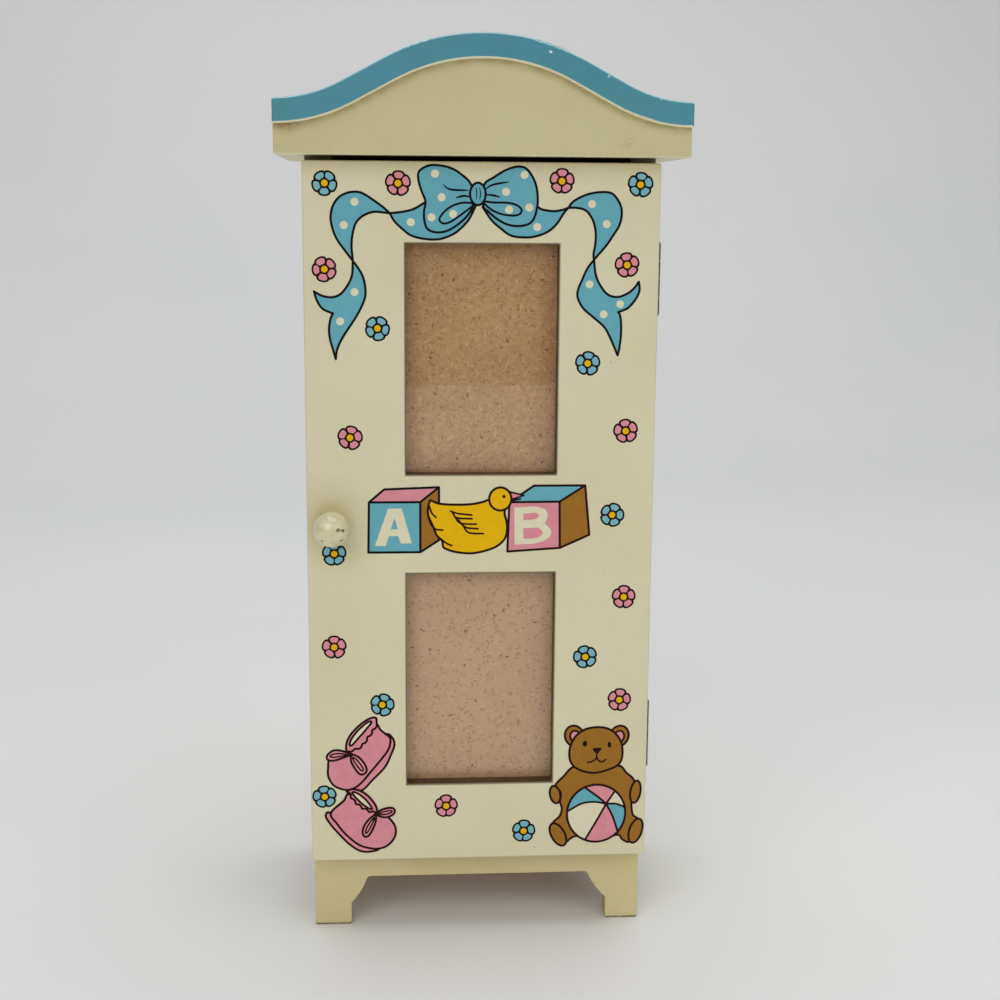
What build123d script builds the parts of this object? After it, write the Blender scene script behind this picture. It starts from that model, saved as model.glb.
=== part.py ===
"""Miniature wardrobe: a painted MDF carcass on a bracket-foot plinth, under an arched cornice, with one door.

Millimetres, +Z up. The door faces -Y and its hinges are on the +X side.
The origin is the centre of the footprint's bounding box, on the surface that the feet stand on.
Every physical piece is its own solid, and each file in parts/ is one piece or one group of like fasteners.
"""

from build123d import *
from math import cos, hypot, radians, sin, tan
import os

# Board thicknesses
BOARD = 9.0  # door, sides, plinth, pediments
TOP_BOARD = 10.0
HARDBOARD = 3.0  # back panel

# Door
DOOR_WIDTH = 125.0
DOOR_HEIGHT = 256.0
DOOR_TOP_GAP = 1.8
DOOR_BACK_GAP = 0.6  # between the door's back and the carcass

# Windows in the door, each a photo frame
WINDOW_WIDTH = 54.0
WINDOW_HEIGHTS = {"lower": 80.3, "upper": 81.8}
WINDOW_CORNER = 0.8
WINDOW_EASE = 0.4  # rounding of the window's front rim
LOWER_SILL = 29.5  # above the door's bottom edge
UPPER_SILL = 146.1
REBATE_LIP = 5.0  # how far the rebate reaches past the window on each side
REBATE_CORNER = 2.0
PANE = 1.0
PANE_AIR = 0.1  # between the pane and the backer
BACKER = 1.9
PANE_PLAY = 0.25

# Knob
KNOB_DIAMETER = 12.7
KNOB_CENTRE_OUT = 8.0  # ball's centre in front of the door
KNOB_FROM_EDGE = 9.1
NECK_RADIUS = 3.0
COLLAR_RADIUS = 3.8
COLLAR_HEIGHT = 1.0
COLLAR_EASE = 0.4

# Carcass and plinth
CARCASS_WIDTH = 124.0
CARCASS_DEPTH = 79.0  # back panel included
PLINTH_HEIGHT = 30.0
RAIL_UNDERSIDE = 19.2  # plinth rail's lower edge
FOOT_WIDTH = 12.6
LEFT_FOOT_WIDTH = 13.8  # the left foot of the front and back plinth boards is cut wider
FOOT_UPRIGHT = 8.5  # height at which the foot starts to splay
FOOT_SPLAY = 7.4  # how far the splay runs inwards
FOOT_BULGE = 0.7  # swelling of the splayed edge
FOOT_ROUND = 1.0
ARCH_ROUND = 1.5  # where the splay meets the rail

# Cornice
CORNICE_WIDTH = 143.2
CORNICE_PROUD = 7.0  # pediment's face in front of the door's face
ROOF_PROUD = 3.5  # roof's front edge in front of the pediment's face
ROOF_THICKNESS = 8.4
ARCH_RISE = 22.0
CROWN_RADIUS = 72.0  # roof's upper face
ARCH_SLOPE = 28.0  # degrees, steepest part of the wave
ROOF_CORNER = 1.0
EDGE_ROUND = 0.7

# Inside
RAIL_DIAMETER = 6.0
RAIL_DROP = 22.0  # rail's centre below the top board
RAIL_SEAT = 4.0  # how deep each end sits in its side panel

# Hinges
HINGE_LENGTH = 25.4
HINGE_LEAF = 0.6
HINGE_WIDTH = 9.0  # pin axis to the leaf's far edge
KNUCKLES = 4
KNUCKLE_RADIUS = 1.2
KNUCKLE_GAP = 0.2
KNUCKLE_ROOM = 0.25  # between a knuckle and the wood
PIN_RADIUS = 0.6
PIN_PLAY = 0.05
PIN_HEAD_RADIUS = 0.9
PIN_HEAD = 0.4  # height of the head at each end
PIN_STICKS_OUT = 0.1  # pin past the last knuckle, under its head
LEAF_STEP = 0.15  # between a leaf's edge and the other leaf's knuckles
MORTISE_PLAY = 0.1
PIN_OUT = 0.8  # pin axis outside the door's edge
LOWER_HINGE = 44.9  # hinge's centre above the plinth
UPPER_HINGE = 215.6
HINGE_SCREW_SPREAD = 16.0

# Screws and brads: length, shank radius, head radius
BRAD = (8.0, 0.45, 0.9)
HINGE_SCREW_DOOR = (6.0, 0.8, 1.5)
HINGE_SCREW_CARCASS = (8.0, 0.8, 1.5)
KNOB_SCREW = (15.0, 1.25, 2.6)
BRADS_PER_SIDE = 5
FIRST_BRAD = 14.0  # above the plinth
BRAD_SPACING = 57.5
BUTTON_SCREW_GRIP = 6.0
BUTTON_SCREW_RADIUS = 1.0
BUTTON_SCREW_HEAD_RADIUS = 2.0
BUTTON_SCREW_HEAD = 0.9
BUTTON_SCREW_DOME = 0.5
HOLE_PLAY = 0.03

# Small metal parts
BUTTON_LENGTH = 12.0
BUTTON_WIDTH = 5.0
BUTTON_THICKNESS = 0.8
BUTTON_PIVOT = 3.0  # from its outer end
BUTTON_PLAY = 0.1
BUTTON_FROM_REBATE = 4.2
MAGNET_RADIUS = 2.5
MAGNET_DEPTH = 3.0
STRIKE_RADIUS = 3.5
STRIKE_THICKNESS = 0.6
CATCH_HEIGHT = 190.0  # above the plinth
NUDGE = 1.0  # how far a cut starts outside the face it cuts
NEAR = 0.01  # tolerance for picking edges by place

# Places worked out from the sizes above
KNOB_REACH = KNOB_CENTRE_OUT + KNOB_DIAMETER / 2
BACK_REACH = BOARD + DOOR_BACK_GAP + CARCASS_DEPTH  # door's face to the back
DOOR_FRONT = (KNOB_REACH - BACK_REACH) / 2
DOOR_BACK = DOOR_FRONT + BOARD
CARCASS_FRONT = DOOR_BACK + DOOR_BACK_GAP
BACK = CARCASS_FRONT + CARCASS_DEPTH
PANEL_BACK = BACK - HARDBOARD
DOOR_BOTTOM = PLINTH_HEIGHT
DOOR_TOP = DOOR_BOTTOM + DOOR_HEIGHT
CARCASS_TOP = DOOR_TOP + DOOR_TOP_GAP
CORNICE_TOP = CARCASS_TOP + TOP_BOARD
ROOF_TOP = CORNICE_TOP + ROOF_THICKNESS + ARCH_RISE
PEDIMENT_FRONT = DOOR_FRONT - CORNICE_PROUD
INSIDE = CARCASS_WIDTH / 2 - BOARD
REBATE_DEPTH = PANE + PANE_AIR + BACKER
PIN_X = DOOR_WIDTH / 2 + PIN_OUT
PIN_Y = DOOR_BACK + DOOR_BACK_GAP / 2
RAIL_Z = CARCASS_TOP - RAIL_DROP
RAIL_Y = (CARCASS_FRONT + PANEL_BACK) / 2
HINGES = {"lower": PLINTH_HEIGHT + LOWER_HINGE, "upper": PLINTH_HEIGHT + UPPER_HINGE}
SILLS = {"lower": DOOR_BOTTOM + LOWER_SILL, "upper": DOOR_BOTTOM + UPPER_SILL}
WINDOWS = {  # middle height above the ground, and size upwards
    name: (SILLS[name] + height / 2, height) for name, height in WINDOW_HEIGHTS.items()
}
BUTTON_X = WINDOW_WIDTH / 2 + REBATE_LIP + BUTTON_FROM_REBATE
KNOB_X = -DOOR_WIDTH / 2 + KNOB_FROM_EDGE
KNOB_Z = DOOR_BOTTOM + DOOR_HEIGHT / 2
CATCH_X = -(CARCASS_WIDTH - BOARD) / 2
CATCH_Z = PLINTH_HEIGHT + CATCH_HEIGHT


def block(x0, x1, y0, y1, z0, z1):
    """A box between two corners."""
    centre = Pos((x0 + x1) / 2, (y0 + y1) / 2, (z0 + z1) / 2)
    return centre * Box(x1 - x0, y1 - y0, z1 - z0)


def rod(radius, start, length, direction):
    """A cylinder that starts at a point and runs along a direction."""
    return Plane(origin=start, z_dir=direction) * Cylinder(
        radius, length, align=(Align.CENTER, Align.CENTER, Align.MIN)
    )


def taper(radius_start, radius_end, start, length, direction):
    """A cone that starts at a point and runs along a direction."""
    return Plane(origin=start, z_dir=direction) * Cone(
        radius_start, radius_end, length, align=(Align.CENTER, Align.CENTER, Align.MIN)
    )


def front_outline(wire, y_front, depth):
    """Turns a wire in XZ into a board that runs back from y_front."""
    face = make_face(wire)
    solid = extrude(face, amount=depth, dir=(0, 1, 0))
    return Pos(0, y_front, 0) * solid


def rounded(solid, edges, radius):
    """Rounds edges, or leaves them sharp where there are none."""
    return fillet(edges, radius) if edges else solid


# ---------------------------------------------------------------- plinth


def foot_wire(half_width, plane_point, foot_widths=(FOOT_WIDTH, FOOT_WIDTH)):
    """Two bracket feet joined by a rail, as edges. plane_point maps (across, up) to a point."""
    crown = half_width - FOOT_WIDTH - FOOT_SPLAY
    rise = RAIL_UNDERSIDE - FOOT_UPRIGHT
    edges = []
    for side, foot_width in zip((-1, 1), foot_widths):
        inner = half_width - foot_width
        chord = hypot(inner - crown, rise)
        middle = (inner + crown) / 2 - FOOT_BULGE * rise / chord
        middle_z = FOOT_UPRIGHT + rise / 2 - FOOT_BULGE * (inner - crown) / chord
        foot = [
            (side * half_width, PLINTH_HEIGHT),
            (side * half_width, 0),
            (side * inner, 0),
            (side * inner, FOOT_UPRIGHT),
        ]
        edges.append(Polyline([plane_point(*p) for p in foot]))
        splay = [
            (side * inner, FOOT_UPRIGHT),
            (side * middle, middle_z),
            (side * crown, RAIL_UNDERSIDE),
        ]
        edges.append(ThreePointArc(*[plane_point(*p) for p in splay]))
    for height, reach in ((RAIL_UNDERSIDE, crown), (PLINTH_HEIGHT, half_width)):
        edges.append(Line(plane_point(-reach, height), plane_point(reach, height)))
    return edges


def plinth_board(y_front, outer_face_sign):
    """Front or back plinth board, with its outer edges and the soles of its feet eased."""
    widths = (LEFT_FOOT_WIDTH, FOOT_WIDTH)
    wire = foot_wire(CARCASS_WIDTH / 2, lambda across, up: (across, 0, up), widths)
    board = front_outline(wire, y_front, BOARD)
    soles = board.edges().filter_by(Axis.Y).filter_by(lambda e: e.center().Z < NEAR)
    board = fillet(soles, FOOT_ROUND)
    crowns = board.edges().filter_by(Axis.Y).filter_by(
        lambda e: abs(e.center().Z - RAIL_UNDERSIDE) < NEAR
    )
    board = fillet(crowns, ARCH_ROUND)
    outer = y_front if outer_face_sign < 0 else y_front + BOARD
    rims = board.edges().filter_by(
        lambda e: abs(e.center().Y - outer) < NEAR and e.center().Z < PLINTH_HEIGHT - NEAR
    )
    return rounded(board, rims, EDGE_ROUND / 2)


def plinth_side(side):
    """Side plinth board, held between the front and the back board."""
    middle = (CARCASS_FRONT + BACK) / 2
    wire = foot_wire(CARCASS_DEPTH / 2, lambda across, up: (0, middle + across, up))
    board = extrude(make_face(wire), amount=BOARD, dir=(side, 0, 0))
    board = Pos(side * INSIDE, 0, 0) * board
    between = block(
        -CARCASS_WIDTH,
        CARCASS_WIDTH,
        CARCASS_FRONT + BOARD,
        BACK - BOARD,
        0,
        PLINTH_HEIGHT,
    )
    return board & between


# ---------------------------------------------------------------- fasteners


def flat_head_screw(point, direction, length, shank, head):
    """A countersunk screw whose head's top is at a point and whose shank runs along direction."""
    sink = head - shank
    return rod(shank, point, length, direction) + taper(
        head, shank, point, sink, direction
    )


def brads():
    """Countersunk brads that hold the back panel to the side panels."""
    lowest = PLINTH_HEIGHT + FIRST_BRAD
    heights = [lowest + step * BRAD_SPACING for step in range(BRADS_PER_SIDE)]
    places = [
        (side * (CARCASS_WIDTH - BOARD) / 2, BACK, z) for side in (-1, 1) for z in heights
    ]
    return [flat_head_screw(p, (0, -1, 0), *BRAD) for p in places]


def hinge_screws(on_door):
    """Two flat-head screws for each hinge leaf."""
    x = PIN_X - (HINGE_WIDTH + KNUCKLE_RADIUS) / 2
    y = DOOR_BACK if on_door else CARCASS_FRONT
    direction = (0, -1, 0) if on_door else (0, 1, 0)
    size = HINGE_SCREW_DOOR if on_door else HINGE_SCREW_CARCASS
    screws = []
    for centre in HINGES.values():
        for z in (centre - HINGE_SCREW_SPREAD / 2, centre + HINGE_SCREW_SPREAD / 2):
            screws.append(flat_head_screw((x, y, z), direction, *size))
    return screws


def button_places():
    """Turn button name to pivot point on the door's back, two beside each window."""
    places = {}
    for window, (middle, _) in WINDOWS.items():
        for side, name in ((-1, "left"), (1, "right")):
            places[f"{window}_{name}"] = (side * BUTTON_X, DOOR_BACK, middle)
    return places


def button_screws():
    """Pan-head screws that the turn buttons pivot on."""
    head_y = DOOR_BACK + BUTTON_THICKNESS + 2 * BUTTON_PLAY
    screws = []
    for x, _, z in button_places().values():
        depth = head_y - DOOR_BACK + BUTTON_SCREW_GRIP
        shank = rod(BUTTON_SCREW_RADIUS, (x, head_y, z), depth, (0, -1, 0))
        head = rod(BUTTON_SCREW_HEAD_RADIUS, (x, head_y, z), BUTTON_SCREW_HEAD, (0, 1, 0))
        rims = head.edges().filter_by(lambda e: e.center().Y > head_y + BUTTON_SCREW_HEAD / 2)
        head = fillet(rims, BUTTON_SCREW_DOME)
        screws.append(shank + head)
    return screws


def knob_screw():
    """Flat-head screw from the door's back into the knob."""
    return flat_head_screw((KNOB_X, DOOR_BACK, KNOB_Z), (0, -1, 0), *KNOB_SCREW)


def drilled(solid, screws, play=HOLE_PLAY):
    """Cuts each screw's hole, a little larger than the screw."""
    for screw in screws:
        grown = offset(screw, play, kind=Kind.INTERSECTION)
        solid = solid - grown
    return solid


# ---------------------------------------------------------------- hinges


def knuckle_span(centre, index):
    """Lowest and highest point of one knuckle, counted from the bottom."""
    length = (HINGE_LENGTH - (KNUCKLES - 1) * KNUCKLE_GAP) / KNUCKLES
    low = centre - HINGE_LENGTH / 2 + index * (length + KNUCKLE_GAP)
    return low, low + length


def hinge_leaf(centre, on_door):
    """One leaf: a flat plate let into the wood, with every second knuckle rolled round the pin."""
    near = DOOR_BACK - HINGE_LEAF if on_door else CARCASS_FRONT
    low, high = centre - HINGE_LENGTH / 2, centre + HINGE_LENGTH / 2
    clear_x = PIN_X - KNUCKLE_RADIUS - LEAF_STEP
    leaf = block(PIN_X - HINGE_WIDTH, clear_x, near, near + HINGE_LEAF, low, high)
    for index in range(0 if on_door else 1, KNUCKLES, 2):
        z0, z1 = knuckle_span(centre, index)
        leaf += block(clear_x - LEAF_STEP, PIN_X, near, near + HINGE_LEAF, z0, z1)
        leaf += rod(KNUCKLE_RADIUS, (PIN_X, PIN_Y, z0), z1 - z0, (0, 0, 1))
    play = PIN_PLAY if on_door else PIN_PLAY / 2
    start = (PIN_X, PIN_Y, low - NUDGE)
    leaf -= rod(PIN_RADIUS + play, start, HINGE_LENGTH + 2 * NUDGE, (0, 0, 1))
    return drilled(leaf, hinge_screws(on_door))


def hinge_pin(centre):
    """Pin through all the knuckles, with a small button head at each end."""
    low = centre - HINGE_LENGTH / 2
    ends = 2 * (PIN_STICKS_OUT + PIN_HEAD / 2)
    foot = (PIN_X, PIN_Y, low - ends / 2)
    pin = rod(PIN_RADIUS, foot, HINGE_LENGTH + ends, (0, 0, 1))
    for z in (low - PIN_STICKS_OUT - PIN_HEAD, low + HINGE_LENGTH + PIN_STICKS_OUT):
        pin += rod(PIN_HEAD_RADIUS, (PIN_X, PIN_Y, z), PIN_HEAD, (0, 0, 1))
    return pin


def hinge_mortises(on_door):
    """Room for both leaves of one side and for the knuckles, open at the outer edge."""
    near = DOOR_BACK - HINGE_LEAF if on_door else CARCASS_FRONT
    far = near + HINGE_LEAF
    half = HINGE_LENGTH / 2 + PIN_STICKS_OUT + PIN_HEAD + MORTISE_PLAY
    reach = HINGE_LENGTH / 2 + MORTISE_PLAY
    left = PIN_X - HINGE_WIDTH - MORTISE_PLAY
    cut = Part()
    for z in HINGES.values():
        cut += rod(KNUCKLE_RADIUS + KNUCKLE_ROOM, (PIN_X, PIN_Y, z - half), 2 * half, (0, 0, 1))
        cut += block(left, PIN_X, near, far, z - reach, z + reach)
    return cut


# ---------------------------------------------------------------- door


def window_cut(middle, height):
    """Window opening with its rebate behind, as one cutting solid."""
    through = Pos(0, 0, middle) * extrude(
        Plane.XZ * RectangleRounded(WINDOW_WIDTH, height, WINDOW_CORNER),
        amount=-BOARD * 2,
    )
    rebate = rebate_plate(middle, height, REBATE_LIP, REBATE_DEPTH + NUDGE)
    return Pos(0, DOOR_FRONT - NUDGE, 0) * through + Pos(0, DOOR_BACK - REBATE_DEPTH, 0) * rebate


def rebate_plate(middle, height, lip, thickness):
    """A plate that reaches past the window by lip on each side, from Y 0 backwards."""
    shape = RectangleRounded(WINDOW_WIDTH + 2 * lip, height + 2 * lip, REBATE_CORNER)
    return Pos(0, 0, middle) * extrude(Plane.XZ * shape, amount=-thickness)


def door_panel():
    """Door board with two windows, hinge mortises, and holes for its fasteners."""
    half = DOOR_WIDTH / 2
    door = block(-half, half, DOOR_FRONT, DOOR_BACK, DOOR_BOTTOM, DOOR_TOP)
    door = fillet(door.edges(), EDGE_ROUND)
    for middle, height in WINDOWS.values():
        door -= window_cut(middle, height)
    rims = door.edges().filter_by(
        lambda e: abs(e.center().Y - DOOR_FRONT) < NEAR
        and abs(e.center().X) < WINDOW_WIDTH / 2 + NUDGE
        and DOOR_BOTTOM + BOARD < e.center().Z < DOOR_TOP - BOARD
    )
    door = rounded(door, rims, WINDOW_EASE)
    door -= hinge_mortises(on_door=True)
    strike = (CATCH_X, DOOR_BACK - STRIKE_THICKNESS, CATCH_Z)
    door -= rod(STRIKE_RADIUS + HOLE_PLAY, strike, STRIKE_THICKNESS + NUDGE, (0, 1, 0))
    return drilled(door, [*hinge_screws(True), *button_screws(), knob_screw()])


def window_pane(middle, height):
    """Clear sheet in the front of a window's rebate."""
    plate = rebate_plate(middle, height, REBATE_LIP - PANE_PLAY, PANE)
    return Pos(0, DOOR_BACK - REBATE_DEPTH, 0) * plate


def window_backer(middle, height):
    """Hardboard that closes a window's rebate behind the pane, flush with the door's back."""
    plate = rebate_plate(middle, height, REBATE_LIP - PANE_PLAY, BACKER)
    return Pos(0, DOOR_BACK - BACKER, 0) * plate


def turn_button(place):
    """Round-ended bar that keeps a backer in, with its longer end over the backer."""
    x, y, z = place
    towards_window = -1 if x > 0 else 1
    shift = towards_window * (BUTTON_LENGTH / 2 - BUTTON_PIVOT)
    bar = extrude(
        Plane.XZ * SlotOverall(BUTTON_LENGTH, BUTTON_WIDTH), amount=-BUTTON_THICKNESS
    )
    bar = Pos(x + shift, y + BUTTON_PLAY, z) * bar
    bore = (x, y - NUDGE, z)
    return bar - rod(BUTTON_SCREW_RADIUS + BUTTON_PLAY, bore, BUTTON_THICKNESS + 2 * NUDGE, (0, 1, 0))


def knob():
    """Turned ball knob on a short neck."""
    radius = KNOB_DIAMETER / 2
    ball = Sphere(radius)
    ball = Pos(KNOB_X, DOOR_FRONT - KNOB_CENTRE_OUT, KNOB_Z) * ball
    seat = (KNOB_X, DOOR_FRONT, KNOB_Z)
    body = ball + rod(NECK_RADIUS, seat, KNOB_CENTRE_OUT, (0, -1, 0))
    body += rod(COLLAR_RADIUS, seat, COLLAR_HEIGHT, (0, -1, 0))
    collar_y = DOOR_FRONT - COLLAR_HEIGHT
    collar = body.edges().filter_by(lambda e: abs(e.center().Y - collar_y) < NEAR)
    body = rounded(body, collar.sort_by(SortBy.LENGTH)[-1:], COLLAR_EASE)
    return drilled(body, [knob_screw()])


# ---------------------------------------------------------------- carcass


def side_panel(side):
    """Side board with a blind hole for the hanging rail and holes for its own fittings."""
    outer = side * CARCASS_WIDTH / 2
    inner = side * INSIDE
    panel = block(
        min(outer, inner),
        max(outer, inner),
        CARCASS_FRONT,
        PANEL_BACK,
        PLINTH_HEIGHT,
        CARCASS_TOP,
    )
    seat = (inner - side * NUDGE, RAIL_Y, RAIL_Z)
    depth = RAIL_SEAT + NUDGE + HOLE_PLAY
    panel -= rod(RAIL_DIAMETER / 2 + HOLE_PLAY, seat, depth, (side, 0, 0))
    fittings = brads()
    if side > 0:
        panel -= hinge_mortises(on_door=False)
        fittings += hinge_screws(on_door=False)
    else:
        magnet = (CATCH_X, CARCASS_FRONT - NUDGE, CATCH_Z)
        panel -= rod(MAGNET_RADIUS + HOLE_PLAY, magnet, MAGNET_DEPTH + NUDGE, (0, 1, 0))
    return drilled(panel, [f for f in fittings if f.center().X * side > 0])


def back_panel():
    """Hardboard back, nailed to the side panels."""
    half = CARCASS_WIDTH / 2
    panel = block(-half, half, PANEL_BACK, BACK, PLINTH_HEIGHT, CARCASS_TOP)
    return drilled(panel, brads())


def bottom_panel():
    """Floor of the wardrobe, between the sides and on the plinth."""
    return block(
        -INSIDE, INSIDE, CARCASS_FRONT, PANEL_BACK, PLINTH_HEIGHT, PLINTH_HEIGHT + BOARD
    )


def hanging_rail():
    """Dowel whose ends sit in blind holes in the side panels."""
    reach = INSIDE + RAIL_SEAT
    return rod(RAIL_DIAMETER / 2, (-reach, RAIL_Y, RAIL_Z), 2 * reach, (1, 0, 0))


# ---------------------------------------------------------------- cornice


def wave_edges(inset):
    """The roof's wave from end to end, inset square to its upper face."""
    slope = radians(ARCH_SLOPE)
    half = CORNICE_WIDTH / 2
    both_radii = (half - ARCH_RISE / tan(slope)) / tan(slope / 2)
    crown = CROWN_RADIUS - inset
    sweep = both_radii - CROWN_RADIUS + inset
    crown_centre = ROOF_TOP - CROWN_RADIUS
    sweep_centre = crown_centre + both_radii - ARCH_RISE
    edges = []
    shoulders = {}
    for side in (-1, 1):
        shoulders[side] = (side * crown * sin(slope), 0, crown_centre + crown * cos(slope))
        foot = (side * (half - sweep * sin(slope)), 0, sweep_centre - sweep * cos(slope))
        bend = (
            side * (half - sweep * sin(slope / 2)),
            0,
            sweep_centre - sweep * cos(slope / 2),
        )
        edges.append(Line(shoulders[side], foot))
        edges.append(ThreePointArc(foot, bend, (side * half, 0, sweep_centre - sweep)))
    edges.append(ThreePointArc(shoulders[-1], (0, 0, ROOF_TOP - inset), shoulders[1]))
    return edges


def pediment(y_front, outer):
    """Board that fills the arch from the cornice's underside up to the roof."""
    half = CORNICE_WIDTH / 2
    foot = [
        Line((-half, 0, CARCASS_TOP), (half, 0, CARCASS_TOP)),
        Line((-half, 0, CORNICE_TOP), (-half, 0, CARCASS_TOP)),
        Line((half, 0, CORNICE_TOP), (half, 0, CARCASS_TOP)),
    ]
    board = front_outline([*wave_edges(ROOF_THICKNESS), *foot], y_front, BOARD)
    rims = board.edges().filter_by(
        lambda e: abs(e.center().Y - outer) < NEAR and e.center().Z < CORNICE_TOP - NEAR
    )
    return rounded(board, rims, EDGE_ROUND / 2)


def roof():
    """Wave-shaped roof of even thickness."""
    half = CORNICE_WIDTH / 2
    end_top = ROOF_TOP - ARCH_RISE
    front = PEDIMENT_FRONT - ROOF_PROUD
    ends = [Line((s * half, 0, CORNICE_TOP), (s * half, 0, end_top)) for s in (-1, 1)]
    wave = [*wave_edges(0), *wave_edges(ROOF_THICKNESS), *ends]
    board = front_outline(wave, front, BACK - front)
    corners = board.edges().filter_by(Axis.Y).filter_by(
        lambda e: abs(e.center().X) > half - NEAR and e.center().Z > end_top - NEAR
    )
    board = fillet(corners, ROOF_CORNER)
    rims = board.edges().filter_by(lambda e: e.center().Y < front + NEAR)
    return rounded(board, rims, EDGE_ROUND)


def top_board():
    """Flat board between the two pediments, wider than the carcass that it covers."""
    half = CORNICE_WIDTH / 2
    return block(
        -half, half, PEDIMENT_FRONT + BOARD, BACK - BOARD, CARCASS_TOP, CORNICE_TOP
    )


# ---------------------------------------------------------------- assembly

pieces = {
    "plinth_front": plinth_board(CARCASS_FRONT, -1),
    "plinth_back": plinth_board(BACK - BOARD, 1),
    "plinth_left": plinth_side(-1),
    "plinth_right": plinth_side(1),
    "bottom_panel": bottom_panel(),
    "side_panel_left": side_panel(-1),
    "side_panel_right": side_panel(1),
    "back_panel": back_panel(),
    "back_panel_brads": Compound(brads()),
    "hanging_rail": hanging_rail(),
    "top_board": top_board(),
    "pediment_front": pediment(PEDIMENT_FRONT, PEDIMENT_FRONT),
    "pediment_back": pediment(BACK - BOARD, BACK),
    "roof": roof(),
    "catch_magnet": rod(
        MAGNET_RADIUS, (CATCH_X, CARCASS_FRONT, CATCH_Z), MAGNET_DEPTH, (0, 1, 0)
    ),
    "catch_strike": rod(
        STRIKE_RADIUS, (CATCH_X, DOOR_BACK, CATCH_Z), STRIKE_THICKNESS, (0, -1, 0)
    ),
    "hinge_screws_carcass": Compound(hinge_screws(on_door=False)),
    "hinge_screws_door": Compound(hinge_screws(on_door=True)),
    "door_panel": door_panel(),
    "door_knob": knob(),
    "knob_screw": knob_screw(),
    "turn_button_screws": Compound(button_screws()),
}
for name, height in HINGES.items():
    pieces[f"hinge_leaf_carcass_{name}"] = hinge_leaf(height, on_door=False)
    pieces[f"hinge_leaf_door_{name}"] = hinge_leaf(height, on_door=True)
    pieces[f"hinge_pin_{name}"] = hinge_pin(height)
for name, (middle, height) in WINDOWS.items():
    pieces[f"window_pane_{name}"] = window_pane(middle, height)
    pieces[f"window_backer_{name}"] = window_backer(middle, height)
for name, place in button_places().items():
    pieces[f"turn_button_{name}"] = turn_button(place)

os.makedirs("parts", exist_ok=True)
for name, shape in pieces.items():
    export_step(shape, f"parts/{name}.step")
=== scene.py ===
"""Looks for the miniature wardrobe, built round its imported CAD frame.

The door's painted pictures are drawn in millimetres: x from the door's centre, z above the surface that the
wardrobe stands on. Every picture is a set of thin closed shapes of paint that ride on the door.
"""

import itertools
import math

import bmesh
import bpy
from mathutils import Matrix, Vector
from mathutils.geometry import tessellate_polygon


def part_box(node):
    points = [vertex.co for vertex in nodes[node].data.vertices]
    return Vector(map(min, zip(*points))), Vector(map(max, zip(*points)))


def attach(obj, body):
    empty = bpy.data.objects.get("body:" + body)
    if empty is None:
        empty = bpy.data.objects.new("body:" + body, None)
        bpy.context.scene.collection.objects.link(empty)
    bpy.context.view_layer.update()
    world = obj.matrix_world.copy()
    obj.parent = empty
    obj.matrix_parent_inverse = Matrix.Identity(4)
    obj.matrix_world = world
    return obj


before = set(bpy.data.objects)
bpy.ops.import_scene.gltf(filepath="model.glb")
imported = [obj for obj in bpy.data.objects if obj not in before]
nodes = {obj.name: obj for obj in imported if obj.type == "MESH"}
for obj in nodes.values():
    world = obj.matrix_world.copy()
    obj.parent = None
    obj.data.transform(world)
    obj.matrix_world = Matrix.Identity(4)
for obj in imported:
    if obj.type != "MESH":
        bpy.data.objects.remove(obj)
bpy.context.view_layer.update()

MM = 0.001
DOOR_LOW, DOOR_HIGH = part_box("door_panel")
DOOR_X = (DOOR_LOW.x + DOOR_HIGH.x) / 2
FACE_Y = DOOR_LOW.y
ROOF_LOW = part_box("roof")[0]
KNOB_LOW, KNOB_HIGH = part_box("door_knob")
KNOB_CENTRE = (KNOB_LOW + KNOB_HIGH) / 2

WINDOW_HALF_WIDTH = 27 * MM

# ---------------------------------------------------------------- camera

CAMERA_FROM_DOOR = Vector((-32.7, -553.7, 270.8)) * MM
CAMERA_PITCH = 10.61  # degrees below level
CAMERA_YAW = 4.08  # degrees towards +X
CAMERA_ROLL = 0.43
CAMERA_LENS = 56.42


def make_camera():
    """The camera stands a little left of the wardrobe and looks slightly down at it."""
    data = bpy.data.cameras.new("camera")
    data.sensor_width = 36.0
    data.lens = CAMERA_LENS
    data.clip_start = 0.01
    data.clip_end = 50.0
    camera = bpy.data.objects.new("camera", data)
    bpy.context.scene.collection.objects.link(camera)
    turn = Matrix.Rotation(math.radians(-CAMERA_YAW), 4, "Z")
    tilt = Matrix.Rotation(math.radians(90 - CAMERA_PITCH), 4, "X")
    roll = Matrix.Rotation(math.radians(CAMERA_ROLL), 4, "Z")
    place = Vector((DOOR_X, FACE_Y, 0.0)) + CAMERA_FROM_DOOR
    camera.matrix_world = Matrix.Translation(place) @ turn @ tilt @ roll
    bpy.context.scene.camera = camera


# ---------------------------------------------------------------- colours

LIGHT_ON_DOOR = 0.75  # share of white that the door sends back under these lights


def linear(red, green, blue):
    """A screen colour, 0 to 255, as linear light."""
    return tuple(((v / 255 + 0.055) / 1.055) ** 2.4 for v in (red, green, blue))


def under_light(red, green, blue):
    """The paint that looks this colour, 0 to 255, on the lit door."""
    return tuple(min(0.92, v / LIGHT_ON_DOOR) for v in linear(red, green, blue))


DOOR_CREAM = under_light(197, 191, 160)
CORNICE_CREAM = under_light(182, 175, 133)
PLINTH_CREAM = under_light(190, 179, 134)
OLD_CREAM = under_light(160, 138, 84)
BLUE = under_light(62, 126, 141)
DEEP_BLUE = under_light(68, 120, 124)
RAW_BOARD = under_light(122, 92, 58)
# dark brown for dirt specks and the feet's lowest edge, and for painted shade in the carcass behind the door
GRIME_AND_SHADE = under_light(74, 56, 32)
# brown for dust, and for painted shade in the cornice's creases
DUST_AND_SHADE_BROWN = under_light(124, 98, 54)
PRIMER = under_light(226, 224, 212)

# ---------------------------------------------------------------- material graphs


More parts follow.
